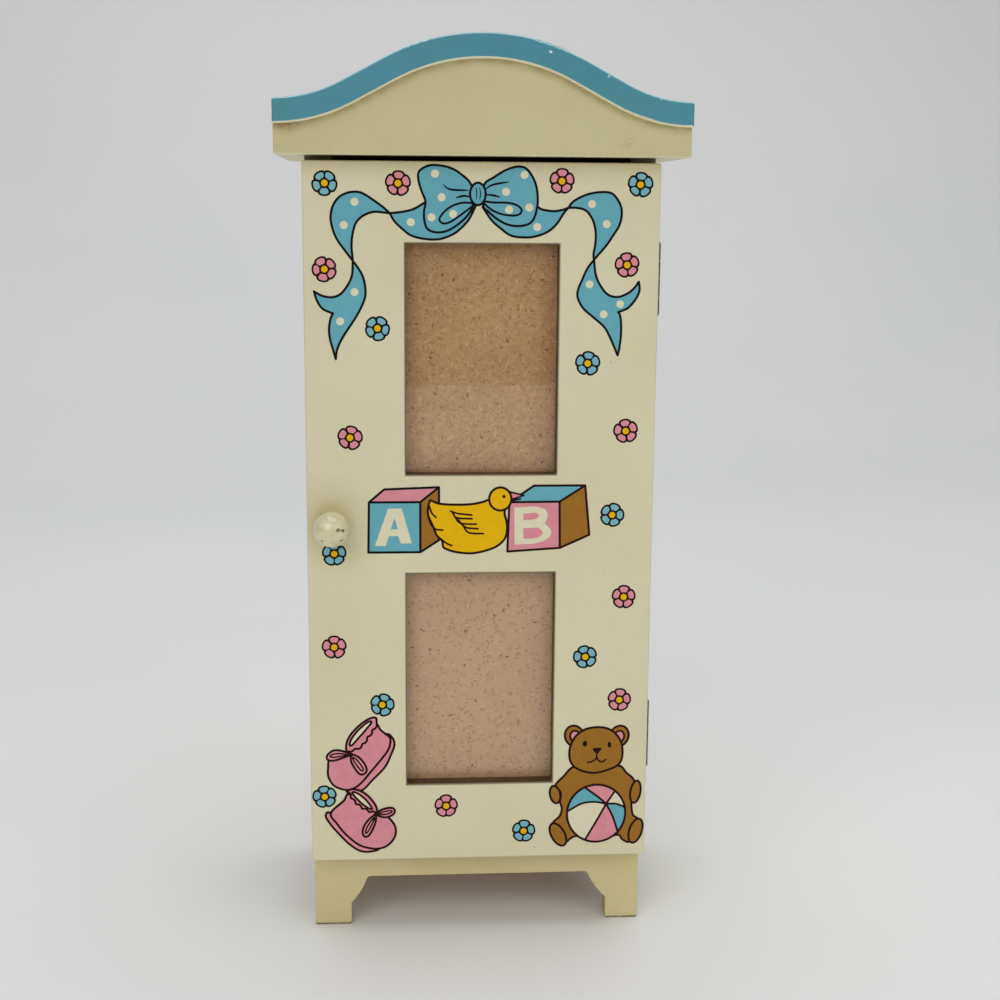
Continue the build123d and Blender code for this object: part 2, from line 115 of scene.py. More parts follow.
class Graph:
    """One material's node tree, built a node at a time. Its coordinates are the row frame's, at rest."""

    def __init__(self, name):
        self.material = bpy.data.materials.new(name)
        self.material.use_nodes = True
        self.tree = self.material.node_tree
        self.shader = self.tree.nodes["Principled BSDF"]
        self.output = self.tree.nodes["Material Output"]
        self.place = self.tree.nodes.new("ShaderNodeTexCoord").outputs["Object"]
        self.x, self.y, self.z = self.parts(self.place)

    def feed(self, socket, value):
        """Links a socket to another, or sets it."""
        if isinstance(value, bpy.types.NodeSocket):
            self.tree.links.new(value, socket)
        elif isinstance(value, tuple) and len(value) == 3 and socket.type == "RGBA":
            socket.default_value = (*value, 1.0)
        else:
            socket.default_value = value

    def parts(self, vector):
        """A vector's three parts."""
        node = self.tree.nodes.new("ShaderNodeSeparateXYZ")
        self.tree.links.new(vector, node.inputs[0])
        return tuple(node.outputs)

    def shade(self, **sockets):
        """Feeds the shader's sockets, named with underscores for spaces."""
        for name, value in sockets.items():
            self.feed(self.shader.inputs[name.replace("_", " ")], value)
        return self

    def math(self, operation, first, second=0.0):
        """One sum on two numbers."""
        node = self.tree.nodes.new("ShaderNodeMath")
        node.operation = operation
        self.feed(node.inputs[0], first)
        self.feed(node.inputs[1], second)
        return node.outputs[0]

    def times(self, *values):
        """Product of several masks."""
        product = values[0]
        for value in values[1:]:
            product = self.math("MULTIPLY", product, value)
        return product

    def ramp(self, value, low, high, to_low=0.0, to_high=1.0):
        """Smooth step of a value from low to high. Low may be above high."""
        node = self.tree.nodes.new("ShaderNodeMapRange")
        node.interpolation_type = "SMOOTHSTEP"
        if low > high:
            low, high, to_low, to_high = high, low, to_high, to_low
        for index, item in enumerate((value, low, high, to_low, to_high)):
            self.feed(node.inputs[index], item)
        return node.outputs[0]

    def between(self, value, low, high, soft):
        """1 where a value is from low to high, with soft ends."""
        return self.times(
            self.ramp(value, low - soft, low + soft), self.ramp(value, high + soft, high - soft)
        )

    def stretched(self, stretch, seed=0.0):
        """The coordinates, scaled along each axis and moved aside by the seed."""
        node = self.tree.nodes.new("ShaderNodeMapping")
        self.tree.links.new(self.place, node.inputs[0])
        node.inputs["Scale"].default_value = stretch
        node.inputs["Location"].default_value = (0.31 * seed, 0.17 * seed, 0.0)
        return node.outputs[0]

    def noise(self, size_mm, detail=3.0, stretch=(1, 1, 1), shift=0.0):
        """Soft noise whose features are about size_mm across."""
        node = self.tree.nodes.new("ShaderNodeTexNoise")
        node.noise_dimensions = "4D"
        self.tree.links.new(self.stretched(stretch), node.inputs["Vector"])
        node.inputs["Scale"].default_value = 1 / (size_mm * MM)
        node.inputs["Detail"].default_value = detail
        node.inputs["W"].default_value = shift
        return node.outputs["Fac"]

    def spots(self, spacing_mm, radius, stretch=(1, 1, 1), keep=0.5, seed=0.0):
        """Small round spots, one at most in each cell of spacing_mm. radius is a share of the cell."""
        vector = self.stretched(stretch, seed)
        return self.cell_marks("3D", vector, spacing_mm, radius, keep)

    def flecks(self, spacing_mm, radius, length, angle, keep, seed):
        """Short strokes on the XZ plane, length times as long as wide, that lean by angle degrees."""
        flat = self.tree.nodes.new("ShaderNodeCombineXYZ")
        self.tree.links.new(self.x, flat.inputs[0])
        self.tree.links.new(self.z, flat.inputs[1])
        leaning = self.tree.nodes.new("ShaderNodeMapping")
        leaning.vector_type = "TEXTURE"
        self.tree.links.new(flat.outputs[0], leaning.inputs[0])
        leaning.inputs["Location"].default_value = (0.37 * seed, 0.23 * seed, 0.0)
        leaning.inputs["Rotation"].default_value = (0.0, 0.0, math.radians(angle))
        leaning.inputs["Scale"].default_value = (length, 1.0, 1.0)
        return self.cell_marks("2D", leaning.outputs[0], spacing_mm, radius, keep)

    def cell_marks(self, dimensions, vector, spacing_mm, radius, keep):
        """A mark about the point of each cell that is kept."""
        node = self.tree.nodes.new("ShaderNodeTexVoronoi")
        node.voronoi_dimensions = dimensions
        self.tree.links.new(vector, node.inputs["Vector"])
        node.inputs["Scale"].default_value = 1 / (spacing_mm * MM)
        chosen = self.tree.nodes.new("ShaderNodeSeparateColor")
        self.tree.links.new(node.outputs["Color"], chosen.inputs[0])
        near = self.ramp(node.outputs["Distance"], radius, radius * 0.55)
        return self.times(near, self.math("LESS_THAN", chosen.outputs[0], keep))

    def mix(self, factor, first, second):
        """Two colours mixed."""
        node = self.tree.nodes.new("ShaderNodeMix")
        node.data_type = "RGBA"
        self.feed(node.inputs[0], factor)
        self.feed(node.inputs[6], first)
        self.feed(node.inputs[7], second)
        return node.outputs[2]

    def rounded_normal(self, radius_mm):
        """The surface normal, as if corners were rounded by radius_mm."""
        node = self.tree.nodes.new("ShaderNodeBevel")
        node.samples = 6
        node.inputs["Radius"].default_value = radius_mm * MM
        return node.outputs[0]

    def edges(self, radius_mm):
        """1 on corners and in creases within radius_mm, and 0 on flat faces."""
        normal = self.tree.nodes.new("ShaderNodeNewGeometry").outputs["Normal"]
        dot = self.tree.nodes.new("ShaderNodeVectorMath")
        dot.operation = "DOT_PRODUCT"
        self.tree.links.new(self.rounded_normal(radius_mm), dot.inputs[0])
        self.tree.links.new(normal, dot.inputs[1])
        return self.ramp(dot.outputs["Value"], 0.995, 0.86)

    def creases(self, reach_mm):
        """1 deep in creases and under ledges, 0 on open faces."""
        shelter = self.tree.nodes.new("ShaderNodeAmbientOcclusion")
        shelter.samples = 8
        shelter.inputs["Distance"].default_value = reach_mm * MM
        return self.ramp(shelter.outputs["AO"], 0.92, 0.35)

    def rounded_facing(self, radius_mm):
        """The upward part of the normal, as if corners were rounded by radius_mm. The root never turns."""
        return self.parts(self.rounded_normal(radius_mm))[2]

    def facing(self, axis):
        """The surface normal's part along an axis of the row frame at rest, 0 X, 1 Y, 2 Z."""
        coordinates = self.tree.nodes.new("ShaderNodeTexCoord")
        return self.parts(coordinates.outputs["Normal"])[axis]

    def near(self, point, radius_mm, soft_mm=0.4, ragged=0.0):
        """1 within radius_mm of a point. ragged is added to the distance to roughen the rim."""
        node = self.tree.nodes.new("ShaderNodeVectorMath")
        node.operation = "DISTANCE"
        self.tree.links.new(self.place, node.inputs[0])
        node.inputs[1].default_value = point
        distance = self.math("ADD", node.outputs["Value"], ragged)
        return self.ramp(distance, (radius_mm + soft_mm) * MM, radius_mm * MM)

    def raggedness(self, size_mm, reach_mm):
        """Noise on both sides of 0, to add to a distance."""
        centred = self.math("SUBTRACT", self.noise(size_mm, 4.0), 0.5)
        return self.math("MULTIPLY", centred, reach_mm * MM)

    def bump(self, height, depth_mm, under=None):
        """Relief of depth_mm from a height of 0 to 1."""
        node = self.tree.nodes.new("ShaderNodeBump")
        node.inputs["Distance"].default_value = depth_mm * MM
        self.feed(node.inputs["Height"], height)
        if under is not None:
            self.tree.links.new(under, node.inputs["Normal"])
        return node.outputs[0]


def brushed_relief(graph, depth_mm=0.05):
    """Faint orange peel over long soft brush strokes."""
    strokes = graph.noise(1.6, 2.0, (1, 1, 0.06))
    peel = graph.noise(0.7, 2.0)
    return graph.bump(peel, depth_mm * 0.5, graph.bump(strokes, depth_mm))


# ---------------------------------------------------------------- paints

ROOF_CHIP = (22.1, 322.0)  # mm across and up, like the three below it
ROOF_NICKS = ((-50.9, 312.0), (41.9, 314.4), (60.2, 307.1))
CORNICE_SCUFF = (49.4, 292.9)
KNOB_CHIPS = ((2.5, 0.9, 0.6), (4.1, 0.6, 0.45), (3.5, -3.1, 0.3), (-3.4, -3.3, 0.2))  # mm, then radius
PLASTIC_INDEX = 1.49


def cream_graph(name, cream, yellowing):
    """Old satin cream paint: uneven yellowing, small dirt specks and rubbed edges. Its colour is in paint."""
    graph = Graph(name)
    cloudy = graph.ramp(graph.noise(45.0, 4.0), 0.35, 0.75)
    mottled = graph.ramp(graph.noise(5.0, 4.0, shift=3.0), 0.4, 0.8)
    colour = graph.mix(graph.times(cloudy, yellowing), cream, OLD_CREAM)
    colour = graph.mix(graph.times(mottled, 0.05), colour, OLD_CREAM)
    worn = graph.times(graph.edges(0.5), graph.ramp(graph.noise(3.0, 5.0, shift=7.0), 0.52, 0.68))
    colour = graph.mix(graph.times(worn, 0.55), colour, RAW_BOARD)
    specks = graph.spots(9.0, 0.035, keep=0.35)
    colour = graph.mix(graph.times(specks, 0.7), colour, GRIME_AND_SHADE)
    graph.paint = colour
    return graph


def finish_paint(graph, roughness=0.42):
    """Sends a paint's colour, gloss and relief to its shader."""
    gloss = graph.ramp(graph.noise(14.0, 4.0, shift=5.0), 0.3, 0.7, roughness - 0.06, roughness + 0.1)
    graph.shade(Base_Color=graph.paint, Roughness=gloss, Normal=brushed_relief(graph))
    graph.shade(Specular_IOR_Level=0.45)
    return graph.material


def raw_board_colour(graph):
    """Bare fibre board in brown, with paler and darker fibres."""
    fibres = graph.ramp(graph.noise(1.2, 5.0, (1, 1, 1)), 0.35, 0.7)
    return graph.mix(fibres, under_light(138, 92, 34), under_light(176, 126, 58))


def window_mask(graph, margin_mm, soft_mm):
    """1 over both windows' openings and a margin about them, seen from the front."""
    upper_low, upper_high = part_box("window_pane_upper")
    lower_low, lower_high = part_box("window_pane_lower")
    lip = (upper_high.x - upper_low.x) / 2 - WINDOW_HALF_WIDTH - margin_mm * MM
    across = graph.between(graph.x, upper_low.x + lip, upper_high.x - lip, soft_mm * MM)
    up = graph.math(
        "MAXIMUM",
        graph.between(graph.z, upper_low.z + lip, upper_high.z - lip, soft_mm * MM),
        graph.between(graph.z, lower_low.z + lip, lower_high.z - lip, soft_mm * MM),
    )
    return graph.times(across, up)


def door_paint():
    """Cream paint, yellower round the knob and darker along its top, with bare board darkened as painted
    shade inside the windows and a thin painted shadow line round them.
    """
    graph = cream_graph("cream_door", DOOR_CREAM, 0.10)
    knob_root = Vector((KNOB_CENTRE.x, FACE_Y, KNOB_CENTRE.z))
    handled = graph.near(tuple(knob_root), 5.0, 17.0)
    colour = graph.mix(graph.times(handled, 0.26), graph.paint, under_light(168, 154, 92))
    ring = graph.near(tuple(knob_root + Vector((0, 0, 1.5 * MM))), 4.5, 4.5)
    colour = graph.mix(graph.times(ring, 0.38), colour, under_light(166, 152, 84))
    # darker and yellower over the top 9 mm of the door, just under the cornice
    darker_towards_top = graph.ramp(graph.z, DOOR_HIGH.z - 9 * MM, DOOR_HIGH.z)
    colour = graph.mix(graph.times(darker_towards_top, 0.22), colour, OLD_CREAM)
    # painted shade: the window walls are bare board made much darker than its own brown, and a thin dark
    # painted shadow line runs round each opening on the face
    inside_face = graph.ramp(graph.y, FACE_Y + 0.45 * MM, FACE_Y + 0.7 * MM)
    reveal = graph.times(inside_face, window_mask(graph, margin_mm=1.2, soft_mm=0.6))
    rim = graph.times(window_mask(graph, margin_mm=0.45, soft_mm=0.3), 0.8)
    reveal = graph.math("MAXIMUM", reveal, rim)
    sawn_board_in_shade = graph.mix(graph.noise(1.2, 5.0), under_light(40, 24, 10), under_light(74, 50, 26))
    graph.paint = graph.mix(reveal, colour, sawn_board_in_shade)
    return finish_paint(graph)


def cornice_paint():
    """Yellower cream, with brown grime under the roof's left end, brown dust and painted shade in its
    creases, painted shade towards its left end, a painted highlight on its lower edges and a scuff at its
    right end.
    """
    graph = cream_graph("cream_cornice", CORNICE_CREAM, 0.16)
    patchy = graph.ramp(graph.noise(4.0, 5.0, shift=2.0), 0.36, 0.62, 0.35, 1.0)
    # dust and painted shade: brown, in patches, in the creases such as under the roof's overhang
    dust = graph.times(graph.creases(5.0), patchy)
    colour = graph.mix(graph.times(dust, 0.6), graph.paint, DUST_AND_SHADE_BROWN)
    left_end = graph.ramp(graph.x, ROOF_LOW.x + 12 * MM, ROOF_LOW.x + 5 * MM)
    under_roof = graph.ramp(graph.z, ROOF_LOW.z - 4.5 * MM, ROOF_LOW.z - 0.5 * MM)
    colour = graph.mix(graph.times(left_end, under_roof, patchy, 0.6), colour, DUST_AND_SHADE_BROWN)
    # painted shade: darker and yellower towards the left end
    colour = graph.mix(graph.ramp(graph.x, 0.0, ROOF_LOW.x, 0.0, 0.14), colour, OLD_CREAM)
    # painted highlight: lighter cream on the lower edges and downward faces
    painted_edge_highlight = graph.ramp(graph.rounded_facing(0.6), -0.2, -0.45)
    colour = graph.mix(graph.times(painted_edge_highlight, 0.7), colour, under_light(208, 204, 172))
    scuff_place = (CORNICE_SCUFF[0] * MM, FACE_Y - 7 * MM, CORNICE_SCUFF[1] * MM)
    scuff = graph.near(scuff_place, 1.2, 2.4)
    streaks = graph.ramp(graph.noise(0.8, 4.0, (0.3, 1, 1)), 0.45, 0.6)
    graph.paint = graph.mix(graph.times(scuff, streaks, 0.35), colour, OLD_CREAM)
    return finish_paint(graph)


def carcass_paint():
    """Yellowed cream, with painted shade in its creases just behind the door, and a bare brown underside."""
    graph = cream_graph("cream_body", CORNICE_CREAM, 0.14)
    # painted shade: creases up to 12 mm behind the door's face, fading out by 16 mm, turn dark brown as if in
    # deep shade
    painted_shade_behind_door = graph.times(graph.creases(9.0), graph.ramp(graph.y, FACE_Y + 16 * MM, FACE_Y + 12 * MM))
    colour = graph.mix(graph.times(painted_shade_behind_door, 0.8), graph.paint, GRIME_AND_SHADE)
    underside = graph.ramp(graph.facing(2), -0.5, -0.8)
    graph.paint = graph.mix(underside, colour, raw_board_colour(graph))
    return finish_paint(graph)


def plinth_paint():
    """The yellowest cream, thin over brown board inside, darker in patches along the feet's lowest
    millimetre.
    """
    graph = cream_graph("cream_plinth", PLINTH_CREAM, 0.22)
    back_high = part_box("plinth_back")[1]
    front_low, front_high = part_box("plinth_front")
    wide = graph.between(graph.x, front_low.x + 0.5 * MM, front_high.x - 0.5 * MM, 0.2 * MM)
    deep = graph.between(graph.y, front_low.y + 0.5 * MM, back_high.y - 0.5 * MM, 0.2 * MM)
    flat = graph.ramp(graph.math("ABSOLUTE", graph.facing(2)), 0.3, 0.1)
    straight = graph.math(
        "MAXIMUM",
        graph.ramp(graph.math("ABSOLUTE", graph.facing(0)), 0.98, 0.999),
        graph.ramp(graph.math("ABSOLUTE", graph.facing(1)), 0.98, 0.999),
    )
    inside = graph.times(wide, deep, flat, straight)
    graph.paint = graph.mix(graph.times(inside, 0.45), graph.paint, raw_board_colour(graph))
    # the feet turn dark in patches along their lowest millimetre
    soles = graph.ramp(graph.z, 1.1 * MM, 0.3 * MM)
    rubbed = graph.ramp(graph.noise(2.2, 5.0, shift=4.0), 0.25, 0.5, 0.35, 1.0)
    graph.paint = graph.mix(graph.times(soles, rubbed, 0.9), graph.paint, GRIME_AND_SHADE)
    return finish_paint(graph, 0.46)


def roof_paint():
    """Blue paint, cream underneath, with a white chip, paler nicks, patchy painted highlights along its edges
    and a pale painted highlight along the top of its front edge.
    """
    graph = Graph("blue_roof")
    streaky = graph.ramp(graph.noise(7.0, 4.0, (0.35, 1, 1)), 0.35, 0.7)
    colour = graph.mix(graph.times(streaky, 0.35), BLUE, DEEP_BLUE)
    # painted highlight: patchy paler blue along the edges, as light caught on rounded edges
    rubbed = graph.times(graph.edges(0.6), graph.ramp(graph.noise(2.4, 5.0), 0.47, 0.66))
    colour = graph.mix(graph.times(rubbed, 0.6), colour, under_light(150, 196, 204))
    ragged = graph.raggedness(0.6, 1.4)
    chipped = graph.near((ROOF_CHIP[0] * MM, ROOF_LOW.y, ROOF_CHIP[1] * MM), 0.34, 0.15, ragged)
    colour = graph.mix(chipped, colour, PRIMER)
    for across, up in ROOF_NICKS:
        nick = graph.near((across * MM, ROOF_LOW.y, up * MM), 0.28, 0.25, ragged)
        colour = graph.mix(graph.times(nick, 0.6), colour, under_light(176, 212, 212))
    specks = graph.spots(8.0, 0.04, keep=0.3, seed=3.0)
    colour = graph.mix(graph.times(specks, 0.6), colour, GRIME_AND_SHADE)
    rim = graph.rounded_facing(0.8)
    # painted highlight: pale cyan along the upward-facing rounded top of the front edge
    painted_crest_highlight = graph.times(graph.ramp(rim, 0.25, 0.75), graph.ramp(graph.facing(2), 0.95, 0.6))
    colour = graph.mix(graph.times(painted_crest_highlight, 0.9), colour, under_light(182, 222, 228))
    colour = graph.mix(graph.ramp(rim, -0.22, -0.42), colour, under_light(212, 206, 172))
    relief = graph.bump(chipped, 0.25, brushed_relief(graph, 0.07))
    gloss = graph.ramp(graph.noise(10.0, 4.0), 0.3, 0.7, 0.32, 0.46)
    graph.shade(Base_Color=colour, Roughness=gloss, Normal=relief, Specular_IOR_Level=0.5)
    return graph.material


def knob_paint():
    """Gloss cream paint, chipped to brown wood low on the right."""
    graph = Graph("gloss_knob")
    yellowed = graph.ramp(graph.noise(5.0, 4.0), 0.35, 0.7)
    colour = graph.mix(graph.times(yellowed, 0.3), under_light(197, 192, 155), OLD_CREAM)
    ragged = graph.raggedness(0.7, 1.6)
    chips = None
    for across, up, radius in KNOB_CHIPS:
        out = math.sqrt((KNOB_HIGH.z - KNOB_LOW.z) ** 2 / 4 - (across**2 + up**2) * MM**2)
        place = KNOB_CENTRE + Vector((across * MM, 0, up * MM))
        place.y = KNOB_LOW.y + (KNOB_HIGH.z - KNOB_LOW.z) / 2 - out
        chip = graph.near(tuple(place), radius, 0.25, ragged)
        chips = chip if chips is None else graph.math("MAXIMUM", chips, chip)
    specks = graph.spots(2.2, 0.05, keep=0.25)
    colour = graph.mix(chips, colour, under_light(112, 80, 30))
    colour = graph.mix(graph.times(specks, 0.45), colour, GRIME_AND_SHADE)
    gloss = graph.ramp(graph.noise(4.0, 3.0, shift=1.0), 0.3, 0.7, 0.22, 0.34)
    relief = graph.bump(chips, -0.2, graph.bump(graph.noise(2.0, 3.0), 0.05))
    graph.shade(Base_Color=colour, Roughness=gloss, Normal=relief, Coat_Weight=1.0, Coat_Roughness=0.12)
    return graph.material


# ---------------------------------------------------------------- board, wood, metal and glass


def fibre_board(name, dark, light, flecked):
    """Hardboard: matted fibre with dark and pale flecks, plainest on the side that faces back."""
    graph = Graph(name)
    strength = graph.ramp(graph.facing(1), 0.5, -0.5, 0.3, flecked)
    matted = graph.ramp(graph.noise(0.55, 4.0), 0.3, 0.7)
    felted = graph.ramp(graph.noise(1.7, 5.0, shift=2.0), 0.3, 0.7)
    cloudy = graph.ramp(graph.noise(24.0, 3.0, shift=6.0), 0.3, 0.75)
    texture = graph.math("ADD", graph.times(matted, 0.45), graph.times(felted, 0.35))
    colour = graph.mix(graph.math("ADD", texture, graph.times(cloudy, 0.2)), dark, light)
    # painted reflection: the board turns paler low on the door, as the pane there mirrors the pale floor
    painted_reflection_low = graph.ramp(graph.z, (DOOR_LOW.z + DOOR_HIGH.z) / 2, DOOR_LOW.z + 90 * MM)
    colour = graph.mix(graph.times(painted_reflection_low, 0.42), colour, under_light(212, 184, 152))
    pale = under_light(226, 198, 164)
    brown = under_light(118, 74, 32)
    black = under_light(72, 34, 6)
    for seed, angle in enumerate((8, 47, 82, 118, 158)):
        fine = graph.flecks(1.6, 0.14, 3.4, angle, 0.2, seed + 1)
        colour = graph.mix(graph.times(fine, strength, 0.68), colour, brown)
        straw = graph.flecks(2.8, 0.13, 3.0, angle + 20, 0.16, seed + 11)
        colour = graph.mix(graph.times(straw, strength, 0.42), colour, pale)
    for seed, angle in enumerate((5, 65, 125)):
        bold = graph.flecks(5.0, 0.075, 2.3, angle, 0.07, seed + 21)
        colour = graph.mix(graph.times(bold, strength, 0.9), colour, black)
    shaded = graph.creases(6.0)
    colour = graph.mix(graph.times(shaded, 0.28), colour, brown)
    relief = graph.bump(graph.noise(1.1, 6.0), 0.12)
    graph.shade(Base_Color=colour, Roughness=graph.ramp(matted, 0, 1, 0.62, 0.8), Normal=relief)
    return graph.material


def bare_dowel():
    """Pale dowel with long grain along X."""
    graph = Graph("bare_dowel")
    grain = graph.ramp(graph.noise(1.4, 6.0, (0.05, 1, 1)), 0.35, 0.65)
    colour = graph.mix(grain, under_light(196, 160, 112), under_light(160, 118, 74))
    pores = graph.spots(1.8, 0.14, (0.1, 1, 1), 0.4)
    colour = graph.mix(graph.times(pores, 0.5), colour, under_light(120, 84, 50))
    gloss = graph.ramp(grain, 0, 1, 0.5, 0.62)
    graph.shade(Base_Color=colour, Roughness=gloss, Normal=graph.bump(grain, 0.05))
    return graph.material


def worn_metal(name, bright, tarnished, roughness):
    """Metal with patches of tarnish, fine scratches and brighter rubbed edges."""
    graph = Graph(name)
    patches = graph.ramp(graph.noise(5.0, 4.0), 0.32, 0.68)
    rubbed = graph.times(graph.edges(0.25), 0.7)
    colour = graph.mix(patches, bright, tarnished)
    colour = graph.mix(rubbed, colour, bright)
    scratches = graph.ramp(graph.noise(0.4, 3.0, (1, 1, 0.05)), 0.5, 0.64)
    gloss = graph.ramp(patches, 0, 1, roughness, roughness + 0.22)
    relief = graph.bump(scratches, 0.02)
    graph.shade(Base_Color=colour, Roughness=gloss, Normal=relief, Metallic=1.0)
    return graph.material


def clear_sheet():
    """Thin clear plastic: it lets the board show and mirrors the room faintly, with a little dust."""
    graph = Graph("clear_sheet")
    new = graph.tree.nodes.new
    fresnel = new("ShaderNodeFresnel")
    from_inside = new("ShaderNodeNewGeometry").outputs["Backfacing"]
    graph.feed(fresnel.inputs["IOR"], graph.ramp(from_inside, 0, 1, PLASTIC_INDEX, 1 / PLASTIC_INDEX))
    clear = new("ShaderNodeBsdfTransparent")
    clear.inputs["Color"].default_value = (0.985, 0.985, 0.975, 1.0)
    mirror = new("ShaderNodeBsdfGlossy")
    mirror.inputs["Roughness"].default_value = 0.02
    wavy = graph.bump(graph.noise(40.0, 1.0), 0.008)
    graph.tree.links.new(wavy, mirror.inputs["Normal"])
    sheet = new("ShaderNodeMixShader")
    graph.feed(sheet.inputs[0], fresnel.outputs[0])
    graph.feed(sheet.inputs[1], clear.outputs[0])
    graph.feed(sheet.inputs[2], mirror.outputs[0])
    dust = new("ShaderNodeBsdfDiffuse")
    dust.inputs["Color"].default_value = (0.8, 0.79, 0.76, 1.0)
    dusty = new("ShaderNodeMixShader")
    specks = graph.spots(2.4, 0.05, keep=0.4)
    film = graph.ramp(graph.noise(12.0, 4.0), 0.45, 0.8, 0.0, 0.02)
    graph.feed(dusty.inputs[0], graph.math("MAXIMUM", graph.times(specks, 0.35), film))
    graph.feed(dusty.inputs[1], sheet.outputs[0])
    graph.feed(dusty.inputs[2], dust.outputs[0])
    graph.feed(graph.output.inputs["Surface"], dusty.outputs[0])
    return graph.material


def print_ink(name, colour, second, roughness):
    """Screen-printed ink: nearly even, with faint mottling and pinholes."""
    graph = Graph(name)
    mottled = graph.ramp(graph.noise(2.6, 5.0), 0.35, 0.7)
    ink = graph.mix(graph.times(mottled, 0.5), colour, second)
    pinholes = graph.spots(3.6, 0.035, keep=0.35, seed=4.0)
    ink = graph.mix(graph.times(pinholes, 0.5), ink, DOOR_CREAM)
    gloss = graph.ramp(mottled, 0, 1, roughness, roughness + 0.1)
    graph.shade(Base_Color=ink, Roughness=gloss, Normal=brushed_relief(graph, 0.02))
    graph.shade(Specular_IOR_Level=0.12)
    return graph.material


def dress_nodes():
    """Gives every CAD node its material."""
    cornice = cornice_paint()
    plinth = plinth_paint()
    steel = worn_metal("steel", (0.52, 0.51, 0.48), (0.30, 0.28, 0.25), 0.30)
    dark_metal = worn_metal("dark_metal", (0.27, 0.23, 0.17), (0.14, 0.115, 0.08), 0.4)
    brass = worn_metal("brass", (0.74, 0.55, 0.26), (0.38, 0.26, 0.12), 0.28)
    board = fibre_board("hardboard", under_light(165, 126, 80), under_light(214, 175, 126), 1.0)
    back = fibre_board("hardboard_back", under_light(146, 114, 78), under_light(190, 157, 117), 0.3)
    clear = clear_sheet()
    body_paint = carcass_paint()
    materials = {
        "roof": roof_paint(),
        "door_panel": door_paint(),
        "door_knob": knob_paint(),
        "hanging_rail": bare_dowel(),
        "back_panel": back,
    }
    by_start = {
        "pediment": cornice,
        "top_board": cornice,
        "plinth": plinth,
        "side_panel": body_paint,
        "bottom_panel": body_paint,
        "window_pane": clear,
        "window_backer": board,
        "hinge_leaf": dark_metal,
        "hinge_pin": dark_metal,
        "turn_button_screws": steel,
        "turn_button": brass,
    }
    for name, node in nodes.items():
        start = next((s for s in by_start if name.startswith(s)), None)
        material = materials.get(name) or by_start.get(start) or steel
        node.data.materials.clear()
        node.data.materials.append(material)


# ---------------------------------------------------------------- drawing with paint

SAMPLE_MM = 0.35
INK_STEP = 0.012  # mm between layers of ink
INK_BASE = 0.02  # mm, the lowest layer's top
INK_HAIR = 0.00002  # mm between one shape and the next, so that no two share a face
shapes_drawn = itertools.count()
OUTLINE = 0.82  # mm, the usual width of a drawn line


def curve_through(points, closed=False):
    """A smooth curve through points, as closely spaced points."""
    points = [Vector(p) for p in points]
    count = len(points)
    if count < 3 and not closed:
        return points
    out = []
    for i in range(count if closed else count - 1):
        if closed:
            before, start, end, after = (points[(i + k) % count] for k in (-1, 0, 1, 2))
        else:
            start, end = points[i], points[i + 1]
            before = points[i - 1] if i else 2 * start - end
            after = points[i + 2] if i + 2 < count else 2 * end - start
        steps = max(2, round((end - start).length / SAMPLE_MM))
        for k in range(steps):
            t = k / steps
            out.append(
                0.5
                * (
                    2 * start
                    + (end - before) * t
                    + (2 * before - 5 * start + 4 * end - after) * t**2
                    + (3 * start - before - 3 * end + after) * t**3
                )
            )
    if not closed:
        out.append(points[-1])
    return out


def outline_of(*strokes):
    """A closed outline from strokes that join end to end at sharp corners."""
    loop = []
    for stroke in strokes:
        loop += curve_through(stroke)[:-1]
    return loop


def ellipse(centre, radius_x, radius_z, turn=0.0, start=0.0, sweep=360.0):
    """Points round an ellipse, or round part of one."""
    steps = max(12, round(math.radians(sweep) * max(radius_x, radius_z) / SAMPLE_MM))
    tilt = Matrix.Rotation(math.radians(turn), 2)
    count = steps if sweep == 360.0 else steps + 1
    out = []
    for i in range(count):
        angle = math.radians(start + sweep * i / steps)
        out.append(Vector(centre) + tilt @ Vector((radius_x * math.cos(angle), radius_z * math.sin(angle))))
    return out


def object_of(mesh, name, material):
    """Puts a finished bmesh into the scene."""
    data = bpy.data.meshes.new(name)
    mesh.to_mesh(data)
    mesh.free()
    data.materials.append(material)
    piece = bpy.data.objects.new(name, data)
    bpy.context.scene.collection.objects.link(piece)
    return piece


